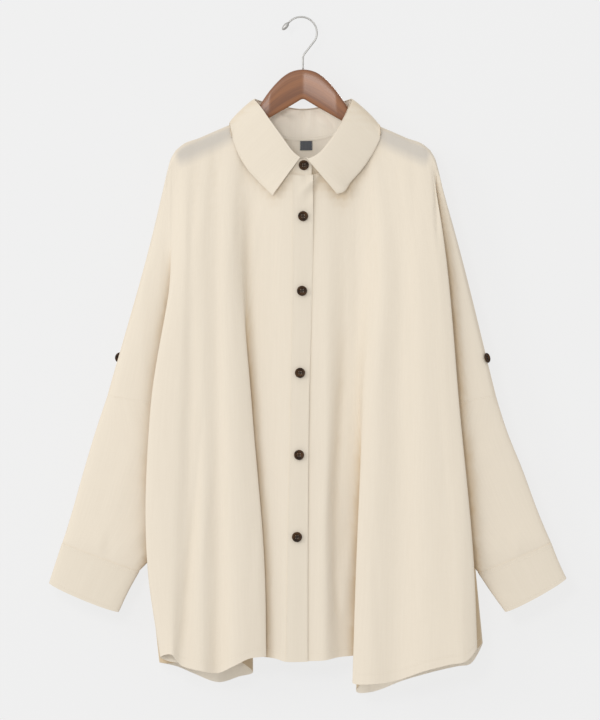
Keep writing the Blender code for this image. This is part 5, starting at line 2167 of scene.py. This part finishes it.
@dataclass
class Hanger:
    """The wooden hanger and its wire hook.

    Attributes:
        half_thick: Half the wood's thickness.
        face_squareness: How flat its faces are: 1 is round, and less is squarer.
        edge_squareness: The same for its edges.
        lean: How far forward each arm bends.
        lean_out: The distance out where it is furthest forward, and where it is back again.
        sides: How many sides the wood has round it.
        steps: Stretches of wood between the sections.
        wire_radius: Half the wire's thickness.
        hook_radius: The inside of the hook's bend.
        hook_start: The angle of its tip, in degrees.
        hook_end: The angle where the bend ends.
        hook_places: How many points the bend has.
        neck_steps: Stretches of wire between the places of the neck.
        roundness: How round the wire is.
        bead_radius: Half the width of the bead on the tip.
        bead_length: Its length.
        gap: The least gap that is left between two parts.
        neck: The distance out and the drop of the wire's places below the bend.
    """

    half_thick: float = 6.2
    face_squareness: float = 0.4
    edge_squareness: float = 0.55
    lean: float = 4.0
    lean_out: tuple[float, float] = (50.0, 85.0)
    sides: int = 48
    steps: int = 4
    wire_radius: float = 1.4
    hook_radius: float = 22.5
    hook_start: float = 140.0
    hook_end: float = -25.0
    hook_places: int = 61
    neck_steps: int = 10
    roundness: int = 6
    bead_radius: float = 3.6
    bead_length: float = 15.0
    gap: float = 0.3
    neck: tuple[tuple[float, float], ...] = (
        (18.0, 37.5), (11.0, 46.6), (4.7, 54.8), (3.3, 57.6), (STEM_X, 61.5))

    def make_wood(self, wardrobe: Wardrobe) -> None:
        """The two arms, one smooth body through their sections.

        Args:
            wardrobe: The finishes.
        """
        stations = [(-arm.out, arm.top, arm.bottom) for arm in reversed(HANGER_ARM[1:])]
        stations += [(arm.out, arm.top, arm.bottom) for arm in HANGER_ARM]
        turn = 2 * np.pi * np.arange(self.sides + 1) / self.sides
        across = squared(np.cos(turn), self.face_squareness)
        up = squared(np.sin(turn), self.edge_squareness)
        rows = []
        for x, top, bottom in weave(stations, [self.steps] * len(stations)):
            drop = (top + bottom) / 2 - (bottom - top) / 2 * up
            lean = self.lean * np.interp(abs(x), (0, *self.lean_out), (0, 1, 0))
            fore = self.half_thick * across + lean
            rows.append(to_frame(np.stack((np.full_like(turn, x), fore, drop), axis=-1)))
        mesh = Surface(np.array(rows), closed=True).mesh()
        cut = mesh.loops.layers.uv["cut"]
        for face in mesh.faces:
            for loop in face.loops:
                loop[cut].uv = (loop[cut].uv.y, loop[cut].uv.x)
        bmesh.ops.holes_fill(mesh, edges=mesh.edges, sides=self.sides)
        bmesh.ops.recalc_face_normals(mesh, faces=mesh.faces)
        add_piece("hanger_wood", mesh, wardrobe.wood, ["hanger"])

    def wire_route(self) -> list[tuple[float, float, float]]:
        """The wire's middle line, from the hook's tip down to the wood.

        Returns:
            Its points, in the part's frame.
        """
        radius = self.hook_radius + self.wire_radius
        route = []
        for turn in np.radians(np.linspace(self.hook_start, self.hook_end, self.hook_places)):
            route.append((radius * math.cos(turn), 0, radius * math.sin(turn) - self.hook_radius))
        neck = [route[-1]] + [(x, 0, -drop) for x, drop in self.neck]
        neck.append((STEM_X, 0, -(HANGER_ARM[0].top - self.gap)))
        return route + [tuple(point) for point in weave(neck, [self.neck_steps] * (len(neck) - 1))[1:]]

    def make_hook(self, wardrobe: Wardrobe) -> None:
        """The bent wire and the bead on its tip.

        Args:
            wardrobe: The finishes.
        """
        route = self.wire_route()
        curve = bpy.data.curves.new("hook_line", "CURVE")
        curve.dimensions = "3D"
        curve.bevel_depth = self.wire_radius * MM
        curve.bevel_resolution = self.roundness
        curve.use_fill_caps = True
        spline = curve.splines.new("POLY")
        spline.points.add(len(route) - 1)
        for point, place in zip(spline.points, route):
            point.co = (*(value * MM for value in place), 1)
        mesh = bmesh.new()
        mesh.from_mesh(settled(new_object("hook_line", curve)))
        bmesh.ops.remove_doubles(mesh, verts=mesh.verts, dist=0.01 * MM)
        along = (Vector(route[0]) - Vector(route[1])).normalized()
        place = (Vector(route[0]) + along * (self.bead_length / 2 - self.gap)) * MM
        turn = along.to_track_quat("Z", "Y").to_matrix().to_4x4()
        size = Matrix.Diagonal((self.bead_radius * MM, self.bead_radius * MM, self.bead_length / 2 * MM, 1))
        bmesh.ops.create_uvsphere(
            mesh, u_segments=32, v_segments=20, radius=1, matrix=Matrix.Translation(place) @ turn @ size,
        )
        add_piece("hook_wire", mesh, wardrobe.chrome, ["hook", "hook_tip"])


@dataclass
class Studio:
    """The wall close behind, the floor far below, the lights and the camera.

    Attributes:
        metres_a_pixel: The photograph's scale.
        seat_pixel: Where the hook's seat is in the photograph.
        frame_pixels: The photograph's size.
        distance: From the camera to the plane that it is framed on.
        plane: How far forward that plane lies.
        wall_y: How far behind the hanger's plane the wall is.
        floor_z: The floor's height.
        wall_size: Half the wall's side.
        floor_size: Half the floor's side.
        wall_colour: The colour of both.
        wall_glow: How bright both are by themselves.
        sensor: The width of the camera's sensor.
        sky_slope: How the sky's light changes towards the wearer's left, and upwards.
        sky_range: The stretch of that which counts.
        sky_strength: The strength of the sky's light at the two ends of it.
        aim: The place that the lights are aimed at.
        lights: The place, the side and the power in watts of each light.
    """

    metres_a_pixel: float = 0.0015
    seat_pixel: tuple[float, float] = (301.0, 17.5)
    frame_pixels: tuple[int, int] = (600, 720)
    distance: float = 20.0
    plane: float = 0.02
    wall_y: float = 0.048
    floor_z: float = -1.9
    wall_size: float = 8.0
    floor_size: float = 12.0
    wall_colour: Colour = (0.11, 0.11, 0.11)
    wall_glow: float = 0.752
    sensor: float = 36.0
    sky_slope: tuple[float, float] = (-0.45, 0.4)
    sky_range: tuple[float, float] = (-0.6, 0.6)
    sky_strength: tuple[float, float] = (0.62, 0.94)
    aim: tuple[float, float, float] = (0, 0, -0.5)
    lights: dict[str, tuple[tuple[float, float, float], float, float]] = field(default_factory=lambda: {
        "key": ((-0.9, -4.8, 0.45), 0.9, 47),
        "side": ((-3.2, -3.0, 0.8), 1.6, 32),
        "back_key": ((1.5, 4.6, 0.9), 1.6, 70),
    })

    def backdrop(self, name: str, size: float, place: Matrix) -> None:
        """A plain sheet that is seen from its front alone.

        Args:
            name: Its name.
            size: Half its side.
            place: Where it lies, facing along its own Z.
        """
        mesh = bmesh.new()
        bmesh.ops.create_grid(mesh, x_segments=1, y_segments=1, size=size, matrix=place)
        material, graph, shader = new_material(name)
        mottle = graph.stretched(graph.add("ShaderNodeTexCoord")["Object"], (3, 3, 3))
        graph.give(shader, {
            "Base Color": graph.blend(mottle, dimmed(self.wall_colour, 0.99), self.wall_colour),
            "Roughness": 1.0, "Specular IOR Level": 0.0,
            "Emission Color": (1, 1, 1, 1), "Emission Strength": self.wall_glow,
        })
        mixed = graph.add("ShaderNodeMixShader", {
            0: graph.add("ShaderNodeNewGeometry")["Backfacing"],
            1: shader.outputs[0],
            2: graph.add("ShaderNodeBsdfTransparent")[0],
        })
        graph.give(material.node_tree.nodes["Material Output"], {"Surface": mixed[0]})
        sheet = new_object(name, new_mesh(name, mesh))
        sheet.data.materials.append(material)
        sheet.visible_diffuse = False
        sheet.visible_glossy = False
        sheet.visible_shadow = False

    def light(self, name: str, place: tuple[float, float, float], size: float, power: float) -> None:
        """A soft square light aimed at the shirt.

        Args:
            name: Its name.
            place: Where it is.
            size: Its side.
            power: Its power in watts.
        """
        data = bpy.data.lights.new(name, "AREA")
        data.size = size
        data.energy = power
        lamp = new_object(name, data)
        lamp.visible_camera = False
        lamp.location = place
        aim = Vector(self.aim) - Vector(place)
        lamp.rotation_euler = aim.to_track_quat("-Z", "Y").to_euler()

    def sky(self) -> bpy.types.World:
        """The soft light of the room, a little stronger from above and from one side.

        Returns:
            The world.
        """
        world = bpy.data.worlds.new("soft_room")
        world.use_nodes = True
        graph = Graph(world.node_tree)
        parts = graph.add("ShaderNodeSeparateXYZ", {0: graph.add("ShaderNodeTexCoord")["Generated"]})
        slope = graph.total(parts[0], self.sky_slope[0], parts[2], self.sky_slope[1])
        strength = graph.ranged(slope, self.sky_range, self.sky_strength)
        graph.give(world.node_tree.nodes["Background"], {"Strength": strength, "Color": (1, 1, 1, 1)})
        return world

    def camera(self) -> bpy.types.Object:
        """The camera, which sees what the photograph shows.

        Returns:
            The camera's object.
        """
        width, height = self.frame_pixels
        data = bpy.data.cameras.new("camera")
        data.sensor_width = self.sensor
        data.lens = self.sensor * self.distance / (height * self.metres_a_pixel)
        data.dof.use_dof = False
        view = new_object("camera", data)
        view.location = (
            (width / 2 - self.seat_pixel[0]) * self.metres_a_pixel,
            -self.distance - self.plane,
            -(height / 2 - self.seat_pixel[1]) * self.metres_a_pixel,
        )
        view.rotation_euler = (math.radians(90), 0, 0)
        return view

    def make(self) -> None:
        """The whole studio."""
        scene = bpy.context.scene
        scene.view_settings.view_transform = "Standard"
        upright = Matrix.Rotation(math.radians(90), 4, "X")
        wall_place = Matrix.Translation((0, self.wall_y, self.aim[2])) @ upright
        self.backdrop("wall", self.wall_size, wall_place)
        self.backdrop("floor", self.floor_size, Matrix.Translation((0, 0, self.floor_z)))
        scene.world = self.sky()
        for name, settings in self.lights.items():
            self.light(name, *settings)
        scene.camera = self.camera()


def main() -> None:
    """Builds the shirt, its hanger and the studio."""
    logging.basicConfig(level=logging.INFO, format="%(name)s %(message)s")
    Studio().make()
    wardrobe = Wardrobe()
    body = Body()
    body.shape()
    collar = Collar(body)
    collar.shape_stand()
    collar.shape_fall()
    sleeves = Sleeves(body)
    for side in Side:
        sleeves.shape(side)
    everything = {**body.surfaces, **collar.surfaces, **sleeves.surfaces}
    # Marks the folds' hollows for their painted shade.
    PaintedFoldShade().mark(list(everything.values()))
    body.dress(wardrobe)
    collar.dress(wardrobe)
    for side in Side:
        sleeves.dress(side, wardrobe)
    Label().make(body.trees["back"], wardrobe)
    Buttons().make(body.trees, wardrobe)
    hanger = Hanger()
    hanger.make_wood(wardrobe)
    hanger.make_hook(wardrobe)


if __name__ == "__main__":
    main()
